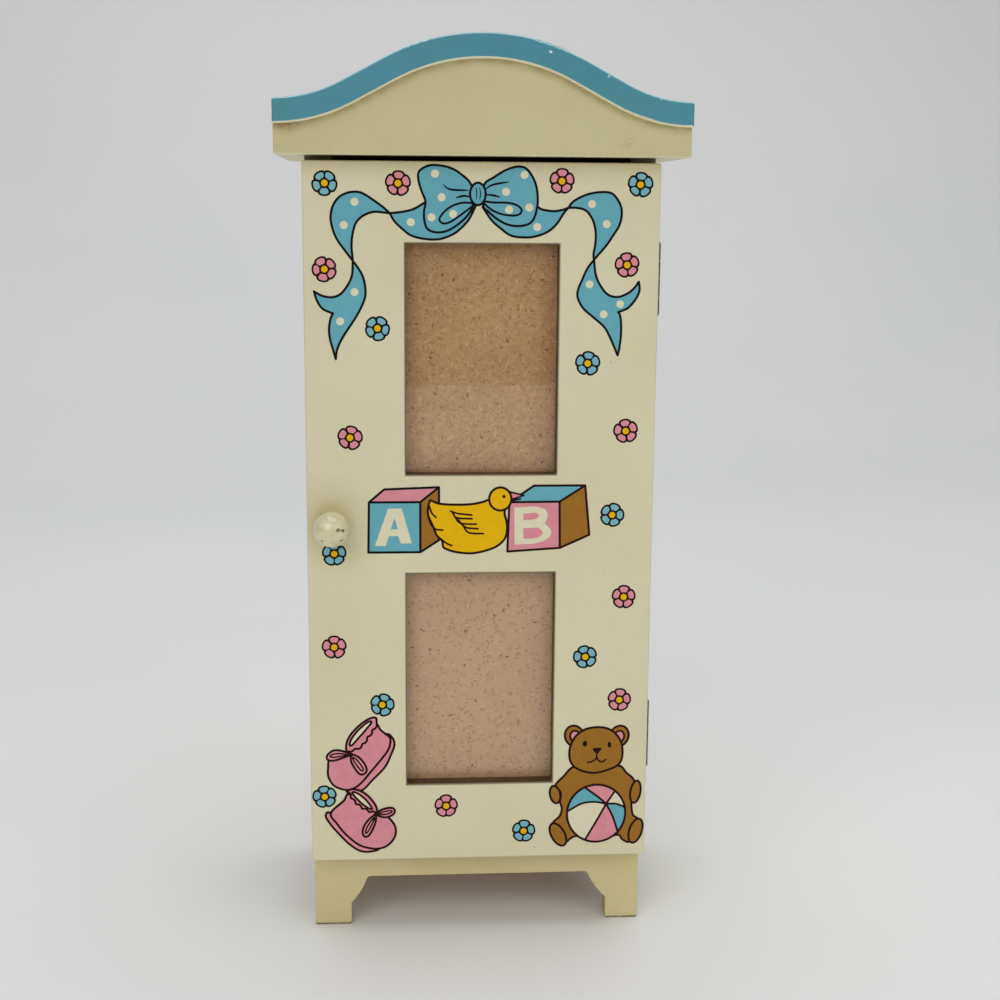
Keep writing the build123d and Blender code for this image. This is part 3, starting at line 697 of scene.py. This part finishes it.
class Ink:
    """One colour of paint on the door: closed flat shapes, joined into one piece."""

    def __init__(self, name, material):
        self.name = name
        self.material = material
        self.mesh = bmesh.new()

    def corner(self, point, height):
        """A vertex at a drawn point, height mm in front of the door's face."""
        return self.mesh.verts.new((DOOR_X + point[0] * MM, FACE_Y - height * MM, point[1] * MM))

    def top(self, layer):
        """Height of a layer, a hair above the last shape drawn in it."""
        return INK_BASE + layer * INK_STEP + next(shapes_drawn) * INK_HAIR

    def fill(self, loop, layer=0, holes=()):
        """A filled shape with any holes."""
        height = self.top(layer)
        loops = [loop, *holes]
        flat = [[Vector((p[0], p[1], 0)) for p in one] for one in loops]
        front = []
        back = []
        for one in loops:
            front += [self.corner(p, height) for p in one]
            back += [self.corner(p, -INK_STEP) for p in one]
        for a, b, c in tessellate_polygon(flat):
            self.mesh.faces.new((front[a], front[b], front[c]))
            self.mesh.faces.new((back[c], back[b], back[a]))
        first = 0
        for one in loops:
            count = len(one)
            for i in range(count):
                a, b = first + i, first + (i + 1) % count
                self.mesh.faces.new((front[a], back[a], back[b], front[b]))
            first += count

    def line(self, points, width=OUTLINE, layer=3, closed=False, taper=False):
        """A drawn line with round ends, or with pointed ends if it tapers."""
        points = [Vector(p) for p in points]
        if closed:
            points.append(points[0])
        count = len(points)
        if count < 2:
            return
        left, right = [], []
        for i, point in enumerate(points):
            if closed and i in (0, count - 1):
                along = points[1] - points[-2]
            else:
                along = points[min(i + 1, count - 1)] - points[max(i - 1, 0)]
            if along.length < 1e-6:
                continue
            along.normalize()
            share = i / (count - 1)
            half = width / 2 * (0.35 + 0.65 * math.sin(math.pi * share) ** 0.6 if taper else 1)
            side = Vector((-along.y, along.x)) * half
            left.append(point + side)
            right.append(point - side)
        height = self.top(layer)
        rows = []
        for a, b in zip(left, right):
            places = ((a, height), (b, height), (b, -INK_STEP), (a, -INK_STEP))
            rows.append([self.corner(place, up) for place, up in places])
        if closed:
            rows[-1] = rows[0]
        for one, two in zip(rows, rows[1:]):
            for k in range(4):
                self.mesh.faces.new((one[k], two[k], two[(k + 1) % 4], one[(k + 1) % 4]))
        if not closed:
            self.mesh.faces.new(rows[0])
            self.mesh.faces.new(rows[-1][::-1])
            for end in (points[0], points[-1]):
                cap = width / 2 * (0.35 if taper else 1)
                self.fill(ellipse(end, cap, cap), layer)

    def finish(self):
        """Makes the piece and lets it ride on the door."""
        bmesh.ops.recalc_face_normals(self.mesh, faces=self.mesh.faces)
        piece = object_of(self.mesh, self.name, self.material)
        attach(piece, "door")


INK_SHADES = {  # two close screen colours and the roughness
    "blue": ((93, 155, 168), (86, 147, 160), 0.36),
    "pale_blue": ((112, 163, 173), (102, 154, 166), 0.36),
    "pink": ((198, 129, 138), (186, 116, 126), 0.36),
    "brown": ((141, 97, 32), (132, 89, 28), 0.36),
    "yellow": ((209, 164, 2), (203, 155, 0), 0.36),
    "cream": ((202, 196, 168), (194, 188, 160), 0.36),
    "dark": ((6, 6, 8), (14, 12, 14), 0.5),
    "maroon": ((30, 5, 6), (38, 10, 10), 0.5),
}


def ink_of(name):
    """An empty piece of one of the printed colours."""
    first, second, roughness = INK_SHADES[name]
    material = print_ink("ink_" + name, under_light(*first), under_light(*second), roughness)
    return Ink("print_" + name, material)


inks = {name: ink_of(name) for name in INK_SHADES}


def shape(colour, line_ink, loop, layer, line_above=1, width=OUTLINE):
    """A filled shape with its outline, which lies line_above layers higher."""
    inks[colour].fill(loop, layer)
    inks[line_ink].line(loop, width, layer + line_above, closed=True)


# ---------------------------------------------------------------- ribbon

DOT = 1.4


def bow_and_ribbon():
    """Blue ribbon in a bow over the upper window, with a twisted tail down each side."""
    swags = (
        (
            [(-32.3, 268.2), (-28, 268.7), (-24, 269.7), (-20, 272.0)],
            [(-20, 272.0), (-10, 274.0), (-2.5, 270.8)],
            [(-2.5, 270.8), (-5, 266), (-9, 262), (-13, 260), (-16.5, 259.3), (-21, 259.6), (-25, 260.7),
             (-27.5, 262.5), (-30.5, 265.3), (-32.3, 268.2)],
        ),
        (
            [(0, 270.5), (10, 274), (19.3, 270.7)],
            [(19.3, 270.7), (21, 269.8), (25, 269.3), (28, 269.8), (30, 270.5)],
            [(30, 270.5), (28.5, 268.8), (26, 265), (23, 262.3), (19, 260.7), (15, 260.2), (10, 260.8),
             (6, 263.5), (3, 266.2), (0, 270.5)],
        ),
    )
    arms = (
        (
            [(-32.3, 268.2), (-34.5, 270.2), (-38, 272.7), (-41, 274.6), (-43.5, 275.4), (-47, 275),
             (-50, 273.3), (-52, 270.3), (-52.7, 266.5), (-52, 262.5), (-50.5, 259), (-48, 255.5),
             (-45.2, 251.8)],
            [(-45.2, 251.8), (-45.3, 253), (-45.6, 257), (-45.2, 261), (-44, 264.8), (-41.5, 267.3),
             (-38, 268.6), (-35, 268.5), (-32.3, 268.2)],
        ),
        (
            [(30, 270.5), (31.5, 272.5), (34.5, 274.3), (38, 275.5), (42, 276), (45, 275.6), (47, 273.8),
             (48.5, 271), (48.8, 268), (48, 264.5), (46, 261.2), (43.5, 257.5), (39.3, 252.6)],
            [(39.3, 252.6), (39.1, 254.5), (39.6, 257.5), (39.8, 261), (39.3, 264.5), (38, 267.5),
             (36, 269.7), (33, 270.5), (30, 270.5)],
        ),
    )
    tails = (
        (
            [(-45.2, 251.8), (-43.5, 249.5), (-41.8, 246.5), (-41, 243), (-41, 239.5), (-42.3, 236),
             (-44.5, 232), (-49.1, 225), (-51, 220.8), (-51.5, 217.6)],
            [(-51.5, 217.6), (-52.3, 220.5), (-53.5, 225), (-53.7, 228.5), (-53.2, 231.5), (-52.3, 233.6)],
            [(-52.3, 233.6), (-53.5, 234), (-56, 235.3), (-57.8, 238), (-58.8, 241.2)],
            [(-58.8, 241.2), (-56, 239.7), (-52.5, 239.2), (-49.5, 240.4), (-47, 243.5), (-45.5, 247),
             (-45.2, 251.8)],
        ),
        (
            [(39.3, 252.6), (37, 249.5), (35.2, 245.5), (33.8, 242), (33.8, 239.2), (35.8, 235.6),
             (39.5, 232.4), (43.4, 229), (45.6, 225.2), (48.4, 219)],
            [(48.4, 219.0), (49.0, 222), (49.4, 226), (49.4, 230), (49.0, 233), (48.3, 234.3)],
            [(48.3, 234.3), (50, 234.9), (52, 236), (54.5, 239), (55.7, 242), (55.4, 245.0)],
            [(55.4, 245), (54, 243), (52, 241.2), (49, 239.8), (46.5, 239.7), (44, 240.8), (41.5, 244),
             (40, 247.5), (39.3, 252.6)],
        ),
    )
    loops = (
        [(-3.4, 271.4), (-4, 278), (-8, 282), (-12, 284), (-17, 284.7), (-20, 284), (-22.2, 282.3),
         (-22.3, 279.5), (-21.3, 276), (-19.9, 272.3), (-20.4, 269), (-20.3, 266), (-19.5, 263.3),
         (-17.5, 262), (-14.5, 261.8), (-11.5, 262.7), (-8, 265), (-5, 268)],
        [(0.2, 271), (0.4, 278), (4, 280.8), (8, 283.2), (12, 284.4), (15, 283.8), (17.3, 281),
         (18.7, 277.5), (19.2, 273), (18.8, 269.5), (17.8, 266.5), (15.8, 264.7), (12, 264.1), (8.5, 264.7),
         (5, 266.5), (2, 269)],
    )
    folds = (
        [(-3, 271.6), (-6, 272), (-9, 271.5), (-12, 270), (-14.5, 267.5), (-15, 265.8), (-13.5, 264.8),
         (-11, 265.5), (-8, 267.5), (-4, 270.5)],
        [(0.3, 272.3), (4, 272.1), (8, 272.1), (11, 271.6), (13, 270.5), (13.6, 269.2), (12.5, 268),
         (10, 267.7), (6.5, 268.2), (3, 269.7)],
    )
    creases = (
        [(-13.7, 278), (-12, 276.7), (-9.5, 276.3), (-5, 276.2)],
        [(-9.3, 273.7), (-6.5, 274.3), (-4.2, 273.9)],
        [(0.8, 276.5), (3, 278), (6, 278.7), (9, 279.2)],
        [(1, 274.8), (3.5, 274.6), (6, 274)],
    )
    dots = (
        (-16.6, 281.8), (-14.3, 273.8), (-17.8, 266.9), (-10.3, 268.1), (-25, 265.2), (-44.4, 272),
        (-48.2, 264.1), (-44.7, 241), (-49.8, 230.8), (14.5, 281.6), (8.1, 275.8), (16.3, 270.5),
        (9.2, 269.7), (19.1, 263.8), (38.3, 271.8), (43.6, 265), (37.9, 244), (43.1, 233.5), (48.9, 237.1),
    )  # fmt: skip
    for strokes in (*arms, *tails):
        inks["blue"].fill(outline_of(*strokes))
        for stroke in strokes:
            inks["dark"].line(curve_through(stroke))
    for strokes, hidden in zip(swags, (1, 0)):
        inks["blue"].fill(outline_of(*strokes))
        for index, stroke in enumerate(strokes):
            if index != hidden:
                inks["dark"].line(curve_through(stroke))
    for loop in loops:
        shape("blue", "dark", curve_through(loop, closed=True), 1, 2)
    for fold in folds:
        inks["dark"].line(curve_through(fold, closed=True), OUTLINE * 0.9, closed=True)
    for crease in creases:
        inks["dark"].line(curve_through(crease), OUTLINE * 0.9, taper=True)
    for dot in dots:
        inks["cream"].fill(ellipse(dot, DOT, DOT), 2)
    shape("blue", "dark", ellipse((-1.7, 275), 2.7, 3.8), 4)
    for across in (-2.4, -1.1):
        crease = curve_through([(across, 277.3), (across + 0.3, 275), (across, 272.9)])
        inks["dark"].line(crease, 0.4, 5, taper=True)


# ---------------------------------------------------------------- flowers

PETALS = 5
PETAL_FROM_CENTRE = 2.78
PETAL_HALF_LONG = 1.1
PETAL_HALF_ANGLE = 29.0  # degrees, so that a thin line is left between petals
PETAL_SQUARENESS = 0.68  # 1 would give rounds, and 0 squares
FLOWER_EYE = 1.15
FLOWER_LINE = 0.66


def petal_outline(centre, turn, half_long, half_angle):
    """A wedge with well-rounded corners, from the flower's eye outwards."""
    steps = 36
    out = []
    for i in range(steps):
        angle = 2 * math.pi * i / steps
        along = math.copysign(abs(math.cos(angle)) ** PETAL_SQUARENESS, math.cos(angle))
        across = math.copysign(abs(math.sin(angle)) ** PETAL_SQUARENESS, math.sin(angle))
        reach = PETAL_FROM_CENTRE + half_long * along
        side = math.radians(turn + half_angle * across)
        out.append(Vector((centre[0] + reach * math.cos(side), centre[1] + reach * math.sin(side))))
    return out


def flower(colour, centre, turn):
    """Five outlined petals about a yellow eye. No two petals are quite alike."""
    line_ink = "dark" if colour == "blue" else "maroon"
    inks[line_ink].fill(ellipse(centre, PETAL_FROM_CENTRE + 0.5, PETAL_FROM_CENTRE + 0.5), 0)
    for index in range(PETALS):
        wobble = math.sin(3.1 * index + turn)
        angle = turn + index * 360 / PETALS + 2 * wobble
        long = PETAL_HALF_LONG + 0.08 * wobble
        inks[line_ink].fill(petal_outline(centre, angle, long + FLOWER_LINE, PETAL_HALF_ANGLE + 11), 0)
        petal = petal_outline(centre, angle, long, PETAL_HALF_ANGLE)
        inks["pale_blue" if colour == "blue" else colour].fill(petal, 2)
    inks[line_ink].fill(ellipse(centre, FLOWER_EYE + FLOWER_LINE, FLOWER_EYE + FLOWER_LINE), 4)
    inks["yellow"].fill(ellipse(centre, FLOWER_EYE, FLOWER_EYE), 6)


def flowers():
    """The flowers scattered over the door, each turned its own way."""
    scattered = (
        ("blue", (-54.7, 278.3), 53), ("pink", (-29.4, 278.4), 15), ("pink", (27.6, 279.6), 16),
        ("blue", (55.2, 278.6), 14), ("pink", (-55.1, 248.9), 42), ("blue", (-36.8, 228.4), 62),
        ("pink", (51.1, 250.8), 25), ("blue", (37.7, 216.1), 14), ("pink", (-46.8, 189.6), 8),
        ("pink", (51.9, 191.8), 26), ("blue", (47.6, 161.1), 0), ("blue", (-52.9, 147.4), 18),
        ("pink", (52.5, 130.4), 16), ("blue", (38.7, 107.8), 32), ("pink", (-53.3, 112.6), 20),
        ("pink", (51.7, 91.1), 10), ("blue", (-36.0, 90.5), 2), ("blue", (-57.5, 55.3), 26),
        ("pink", (-12.5, 50.8), 18), ("blue", (16.6, 40.3), 12),
    )  # fmt: skip
    for colour, centre, turn in scattered:
        flower(colour, centre, turn)


# ---------------------------------------------------------------- blocks and duck


def polygon(colour, line_ink, corners, layer=0):
    """A straight-sided filled shape with its outline drawn side by side."""
    inks[colour].fill([Vector(p) for p in corners], layer)
    for a, b in zip(corners, [*corners[1:], corners[0]]):
        inks[line_ink].line([a, b])


def toy_block(corners, front, top, line_ink):
    """A toy block seen from above its left corner. corners are the front's four and the back's three."""
    low_left, low_right, high_right, high_left, back_left, back_right, back_low = corners
    polygon(front, line_ink, [low_left, low_right, high_right, high_left])
    polygon(top, line_ink, [high_left, high_right, back_right, back_left])
    polygon("brown", line_ink, [low_right, back_low, back_right, high_right])


def letter_a(left, right, low, high):
    """A heavy capital A with a three-cornered counter."""
    middle = (left + right) / 2
    outer = [
        (left, low), (left + 3.9, low), (left + 5.1, low + 3.6), (right - 4.9, low + 3.6),
        (right - 3.9, low + 0.8), (right, low + 0.9), (middle + 3.1, high), (middle - 1.8, high),
    ]  # fmt: skip
    counter = [(middle - 0.9, low + 6.1), (middle + 1.7, low + 6.1), (middle + 0.5, low + 10.2)]
    inks["cream"].fill([Vector(p) for p in outer], 2, [[Vector(p) for p in counter]])


def letter_b(left, right, low, high):
    """A heavy capital B with two counters."""
    waist = (low + high) / 2 + 1
    outer = outline_of(
        [(left, low), (left + 7, low + 0.3), (right - 1.2, low + 2), (right, low + 4.8),
         (right - 2.2, waist - 0.2)],
        [(right - 2.2, waist - 0.2), (right - 1.3, waist + 2.4), (right - 2.2, high - 1.2),
         (left + 7.5, high)],
        [(left + 7.5, high), (left - 0.2, high - 0.4)],
        [(left - 0.2, high - 0.4), (left, low)],
    )  # fmt: skip
    lower = outline_of(
        [(left + 3.1, low + 2.1), (left + 8.2, low + 2.4), (left + 10.2, low + 4.3),
         (left + 8.6, low + 6.2)],
        [(left + 8.6, low + 6.2), (left + 3.1, low + 6.0)],
        [(left + 3.1, low + 6.0), (left + 3.1, low + 2.1)],
    )  # fmt: skip
    upper = outline_of(
        [(left + 3.1, waist + 1), (left + 7.4, waist + 1.3), (left + 8.8, waist + 2.6),
         (left + 7.8, waist + 3.7)],
        [(left + 7.8, waist + 3.7), (left + 3.1, waist + 3.4)],
        [(left + 3.1, waist + 3.4), (left + 3.1, waist + 1)],
    )  # fmt: skip
    inks["cream"].fill(outer, 2, [lower, upper])


def blocks_and_duck():
    """Two toy blocks with a duck between them."""
    toy_block(
        [(-40.6, 147.8), (-21.9, 147.8), (-21.9, 166.2), (-40.3, 166.2), (-34.8, 170.9), (-15.2, 171.6),
         (-15.2, 152.2)],
        "blue", "pink", "dark",
    )  # fmt: skip
    toy_block(
        [(9.6, 147.8), (28.7, 149), (28.4, 166.1), (10.2, 166), (19.1, 172), (37.6, 172), (39.4, 153.8)],
        "pink", "blue", "maroon",
    )  # fmt: skip
    letter_a(-38.3, -25.0, 150.2, 163.9)
    letter_b(12.2, 25.4, 150.4, 164.4)
    beak = [(10.2, 169.8), (15.4, 168.5), (10.6, 166.9)]
    inks["pink"].fill([Vector(p) for p in beak], 5)
    for a, b in zip(beak, beak[1:]):
        inks["maroon"].line([a, b], 0.65, 6)
    inks["maroon"].line([(10.6, 166.5), (14.2, 167.2)], 0.65, 6)
    body = outline_of(
        [(-18.4, 166.9), (-15, 165.6), (-10, 165.2), (-4, 165.3), (0, 166.0), (2.6, 166.9)],
        [(2.6, 166.9), (5, 164.6), (8.6, 163.0)],
        [(8.6, 163), (8.5, 161.5), (9.2, 159), (9.4, 155.8), (8.6, 152.6), (6, 150), (2, 148.3),
         (-3, 147.3), (-8, 147.6), (-11.6, 148.5), (-13.6, 149.6), (-13.8, 150.8), (-14.2, 152.2),
         (-16, 154), (-16.9, 156.4), (-17.8, 158.4), (-19, 161.2), (-19.1, 164.2), (-18.4, 166.9)],
    )  # fmt: skip
    shape("yellow", "maroon", body, 5, 2)
    feathers = (
        [(-18.6, 164.6), (-17.8, 162.2), (-16.3, 160.6)],
        [(-19.0, 160.6), (-17.8, 157.6), (-16.2, 156.2), (-13.8, 155.9)],
        [(-14.2, 152.4), (-12.4, 151.0), (-10.6, 150.2)],
        [(-11.0, 162.9), (-8.6, 162.0), (-3.4, 161.4)],
        [(-10.4, 162.4), (-8.7, 160.4), (-3.3, 160.0)],
        [(-9.6, 161.0), (-7.4, 158.4), (-1.8, 158.0)],
        [(-8.2, 159.6), (-5.6, 156.9), (-1.1, 156.3)],
        [(-6.6, 157.6), (-4.4, 154.9), (0.8, 154.5)],
    )
    for feather in feathers:
        inks["maroon"].line(curve_through(feather), 0.68, 7)
    shape("yellow", "maroon", ellipse((6.9, 167.2), 4.0, 4.2), 8)
    inks["maroon"].fill(ellipse((8.2, 168.1), 0.6, 0.65), 9)


# ---------------------------------------------------------------- booties


def scallops(points, count, depth):
    """A frilled line: a smooth line with small waves on its left side."""
    base = curve_through(points)
    out = []
    for i, point in enumerate(base):
        along = (base[min(i + 1, len(base) - 1)] - base[max(i - 1, 0)]).normalized()
        wave = abs(math.sin(math.pi * count * i / (len(base) - 1)))
        out.append(point + Vector((-along.y, along.x)) * depth * wave)
    return out


def bootie(foot, sole, cuff, frill, opening, bow, knot, layer):
    """A bootie: sole strip, foot, frilled cuff with its opening, and a bow."""
    cuff_loop = curve_through(cuff)[:-1] + scallops(frill, 5, 0.75)[:-1]
    parts = (
        ("pink", curve_through(sole, closed=True), OUTLINE),
        ("pink", curve_through(foot, closed=True), OUTLINE),
        ("pink", cuff_loop, OUTLINE),
        ("cream", curve_through(opening, closed=True), 0.8),
    )
    for index, (colour, loop, width) in enumerate(parts):
        shape(colour, "maroon", loop, layer + 2 * index, width=width)
    for loop in bow:
        outline = curve_through(loop, closed=True)
        middle = sum(outline, Vector((0, 0))) / len(outline)
        along = (middle - Vector(knot)).normalized()
        inner = []
        for point in outline:
            reach = (point - middle).dot(along)
            aside = point - middle - along * reach
            inner.append(middle + along * (reach * 0.74 - 0.2) + aside * 0.34)
        shape("pink", "maroon", outline, layer + 8, width=0.8)
        inks["maroon"].line(inner, 0.6, layer + 9, closed=True)
    inks["maroon"].fill(ellipse(knot, 1.0, 0.8), layer + 9)


def booties():
    """Two pink booties, one standing on the other."""
    bootie(
        [(-50.2, 57.9), (-54, 59.6), (-56, 63), (-56.1, 66.6), (-55.3, 70), (-50, 72.5), (-46, 76),
         (-42, 80), (-38.4, 83.2), (-36.8, 81), (-34.8, 79.2), (-33.4, 78), (-33.1, 76.2), (-34, 73),
         (-36.5, 69.5), (-40, 65.2), (-44, 60.4), (-47, 58.3)],
        [(-47.5, 58.2), (-43.8, 57.5), (-39.5, 61.8), (-35.2, 66.4), (-33, 71), (-31.6, 75), (-32.4, 77.8),
         (-34.4, 79.3), (-36.5, 77), (-40, 70), (-44, 62)],
        [(-49.4, 73), (-49.3, 75.6), (-48.2, 78.4), (-46.2, 81), (-43.4, 83.6), (-40.4, 85.4),
         (-38.4, 85.5), (-38.1, 83.6)],
        [(-38.1, 83.6), (-41.0, 79.2), (-44.6, 74.6), (-49.4, 73.0)],
        [(-48.1, 75.3), (-47.4, 77.6), (-44.8, 81), (-41.4, 83.9), (-40, 83.9), (-42.2, 80.9),
         (-44.9, 77.8), (-47.2, 75.2)],
        (
            [(-48, 71.6), (-51, 73.0), (-54, 73.2), (-56.2, 71.6), (-56.4, 69.9), (-54.6, 69.3), (-51.5, 70)],
            [(-47.4, 71.4), (-45, 70.6), (-42.8, 68), (-41.9, 65.4), (-43, 63.9), (-44.6, 64),
             (-46.4, 66.4), (-47.6, 69)],
        ),
        (-47.8, 71.5),
        0,
    )  # fmt: skip
    bootie(
        [(-48.8, 56.2), (-50.5, 53.6), (-55.3, 48.8), (-53, 44.6), (-49.8, 40.4), (-45, 36.2), (-40, 34.6),
         (-36, 34.9), (-33, 37), (-31.4, 40), (-31.7, 43.6), (-34.6, 47.2), (-38, 48.6), (-42, 51),
         (-45, 54)],
        [(-55.6, 48.9), (-57.2, 47.8), (-55.4, 44.4), (-52, 40.2), (-48.4, 36.4), (-44.6, 33.8),
         (-41, 33.4), (-37.6, 34.3), (-41, 35.2), (-46, 37.2), (-51, 42)],
        [(-38.2, 48), (-38.3, 50.4), (-39.6, 53), (-41.8, 55.6), (-44.4, 57.4), (-47.4, 58.1),
         (-49.5, 57.2)],
        [(-49.5, 57.2), (-46.6, 52.8), (-42.6, 49.6), (-38.2, 48.0)],
        [(-47.3, 56.9), (-45.6, 56.6), (-42.6, 54.2), (-40.2, 50.9), (-40.3, 50.1), (-43.2, 51.9),
         (-46.2, 55)],
        (
            [(-38.4, 48.4), (-36, 50), (-33, 50.5), (-31.6, 49.5), (-32.4, 47.8), (-35, 46.9), (-37.5, 47.4)],
            [(-38.8, 47.8), (-41, 46.4), (-43, 43.6), (-43.6, 41), (-42.8, 39.4), (-41.2, 40),
             (-39.6, 42.8), (-38.7, 45.6)],
        ),
        (-38.6, 47.9),
        12,
    )  # fmt: skip


# ---------------------------------------------------------------- bear


def bear():
    """A sitting bear that holds a beach ball."""
    for middle, turn in (((35.2, 77.3), 20), ((52.0, 77.0), -20)):
        shape("brown", "maroon", ellipse(middle, 3.5, 4.1, turn), 0)
        inner = ellipse((middle[0] + (0.4 if turn > 0 else -0.1), middle[1] - 0.3), 1.9, 2.4, turn)
        shape("pink", "maroon", inner, 2, width=0.75)
    torso = [(35.5, 65.3), (31.4, 61.6), (28.4, 58), (30.4, 55.2), (30.2, 51.6), (30.9, 49), (30.2, 46),
             (27.6, 43.2), (29.4, 41.6), (31.8, 38.2), (32.4, 35.4), (36.4, 37.8), (44.5, 36), (52, 38),
             (54, 36.2), (56.6, 35.2), (57.4, 40), (59.8, 43.9), (57.8, 46), (57.2, 50.2), (57.4, 54),
             (58, 59.4), (55, 62.6), (52, 65.4), (44, 64)]  # fmt: skip
    shape("brown", "maroon", curve_through(torso, closed=True), 4)
    for middle, across, up, turn in (
        ((28.3, 54.5), 1.9, 3.5, 12),
        ((58.6, 55.0), 1.9, 4.4, -8),
        ((29.6, 38.6), 2.5, 4.9, 28),
        ((59.0, 39.5), 2.4, 4.9, -16),
    ):
        shape("brown", "maroon", ellipse(middle, across, up, turn), 6)
    head = [(43.4, 80.6), (39.2, 79.8), (35.8, 77.3), (34, 74), (33.4, 70.6), (33.9, 67.4), (35.6, 65.1),
            (39, 63.4), (43, 62.8), (47, 63.6), (51, 65.2), (52.9, 67.4), (53.4, 71), (52.7, 74.8),
            (50.4, 78.2), (47.4, 80.1)]  # fmt: skip
    shape("brown", "maroon", curve_through(head, closed=True), 8)
    inks["maroon"].fill(ellipse((39.2, 74.3), 0.9, 1.15), 10)
    inks["maroon"].fill(ellipse((48.4, 73.7), 0.65, 1.15, 6), 10)
    nose = [(42.3, 72.4), (45.3, 72.5), (45.0, 71.4), (43.8, 70.3), (42.6, 71.2)]
    inks["maroon"].fill(curve_through(nose, closed=True), 10)
    inks["maroon"].line([(43.7, 70.6), (43.7, 68.4)], 0.6, 11)
    mouth = [(40.3, 66.9), (41.8, 67.2), (43.1, 67.9), (43.7, 68.8), (44.4, 67.6), (45.8, 67.1), (47.2, 68.0)]
    inks["maroon"].line(curve_through(mouth), 0.6, 11)
    beach_ball((43.9, 46.8), 11.0, (47.6, 50.5))


def beach_ball(centre, radius, pole):
    """A ball whose coloured gores meet at a pole. Two gores are left cream."""
    rim = ellipse(centre, radius, radius + 0.3)
    inks["cream"].fill(rim, 12)
    seams = (
        [pole, (43.5, 51.3), (38.5, 50.8), (33.2, 47.9)],
        [pole, (44.6, 53.2), (39.6, 57.0)],
        [pole, (50.8, 55.4)],
        [pole, (51.4, 50.4), (54.8, 49.0)],
        [pole, (50.2, 45.4), (52.3, 39.0)],
        [pole, (44.6, 44.8), (40.0, 36.6)],
    )
    for colour, index in (("blue", 0), ("pink", 1), ("blue", 3), ("pink", 4)):
        first, last = seams[index], seams[index + 1]
        gore = [*curve_through(first), *arc_between(centre, radius, first[-1], last[-1])]
        inks[colour].fill(gore + curve_through(last)[::-1][1:-1], 13)
    for seam in seams:
        inks["maroon"].line(curve_through(seam), 0.8, 14)
    inks["maroon"].line(rim, OUTLINE, 14, closed=True)


def arc_between(centre, radius, start, end):
    """Points clockwise round a circle from near one point to near another, ends left out."""
    first = math.atan2(start[1] - centre[1], start[0] - centre[0])
    last = math.atan2(end[1] - centre[1], end[0] - centre[0])
    sweep = (first - last) % (2 * math.pi)
    steps = max(3, round(sweep * radius / SAMPLE_MM))
    out = []
    for i in range(1, steps):
        angle = first - sweep * i / steps
        out.append(Vector((centre[0] + radius * math.cos(angle), centre[1] + radius * math.sin(angle))))
    return out


# ---------------------------------------------------------------- stage and light

FLOOR_HALF_WIDTH = 3.0
FLOOR_FRONT = -1.83  # in front of the door
FLOOR_BACK = 0.9
SWEEP = 0.7
BACKDROP_HEIGHT = 2.4


def pale_floor():
    """A pale floor that sweeps up behind into a backdrop."""
    profile = [(FACE_Y + FLOOR_FRONT, 0.0), (FLOOR_BACK, 0.0)]
    for step in range(1, 25):
        angle = math.radians(90 * step / 24)
        profile.append((FLOOR_BACK + SWEEP * math.sin(angle), SWEEP * (1 - math.cos(angle))))
    profile.append((FLOOR_BACK + SWEEP, BACKDROP_HEIGHT))
    mesh = bmesh.new()
    rows = []
    for y, z in profile:
        rows.append([mesh.verts.new((side * FLOOR_HALF_WIDTH, y, z)) for side in (-1, 1)])
    for one, two in zip(rows, rows[1:]):
        mesh.faces.new((one[0], one[1], two[1], two[0]))
    graph = Graph("pale_floor")
    cloudy = graph.ramp(graph.noise(300.0, 3.0), 0.3, 0.7)
    colour = graph.mix(cloudy, (0.85, 0.855, 0.86), (0.88, 0.88, 0.875))
    graph.shade(Base_Color=colour, Roughness=graph.ramp(cloudy, 0, 1, 0.5, 0.6))
    floor = object_of(mesh, "floor", graph.material)
    for face in floor.data.polygons:
        face.use_smooth = True


def area_light(name, place, size, power, colour=(1, 1, 1), target=(0.0, 0.0, 0.16)):
    """A soft square light that faces a target, as a rule the middle of the wardrobe."""
    data = bpy.data.lights.new(name, "AREA")
    data.shape = "SQUARE"
    data.size = size
    data.energy = power
    data.color = colour
    light = bpy.data.objects.new(name, data)
    bpy.context.scene.collection.objects.link(light)
    light.location = place
    light.rotation_euler = (Vector(target) - Vector(place)).to_track_quat("-Z", "Y").to_euler()


def room_light():
    """Even light from the room, darker below the level of the floor's far edge."""
    world = bpy.data.worlds.new("room")
    bpy.context.scene.world = world
    world.use_nodes = True
    tree = world.node_tree
    background = tree.nodes["Background"]
    direction = tree.nodes.new("ShaderNodeTexCoord").outputs["Generated"]
    split = tree.nodes.new("ShaderNodeSeparateXYZ")
    tree.links.new(direction, split.inputs[0])
    level = tree.nodes.new("ShaderNodeMapRange")
    for name, value in (("From Min", 0.08), ("From Max", 0.6), ("To Min", 0.03), ("To Max", 0.42)):
        level.inputs[name].default_value = value
    tree.links.new(split.outputs["Z"], level.inputs["Value"])
    tree.links.new(level.outputs[0], background.inputs["Strength"])
    background.inputs["Color"].default_value = (0.97, 0.985, 1.0, 1.0)


bpy.context.scene.view_settings.view_transform = "Standard"
make_camera()
room_light()
pale_floor()
area_light("key", (-0.75, -1.5, 1.05), 1.3, 9.6, (1.0, 0.985, 0.97))
area_light("fill", (0.95, -1.3, 0.62), 1.2, 5.0)
area_light("top", (0.1, 0.0, 1.7), 1.2, 8.8)
area_light("backdrop", (0.0, 0.3, 2.2), 1.0, 5.0, target=(0.0, 2.1, 1.3))
dress_nodes()
bow_and_ribbon()
flowers()
blocks_and_duck()
booties()
bear()
for ink in inks.values():
    ink.finish()
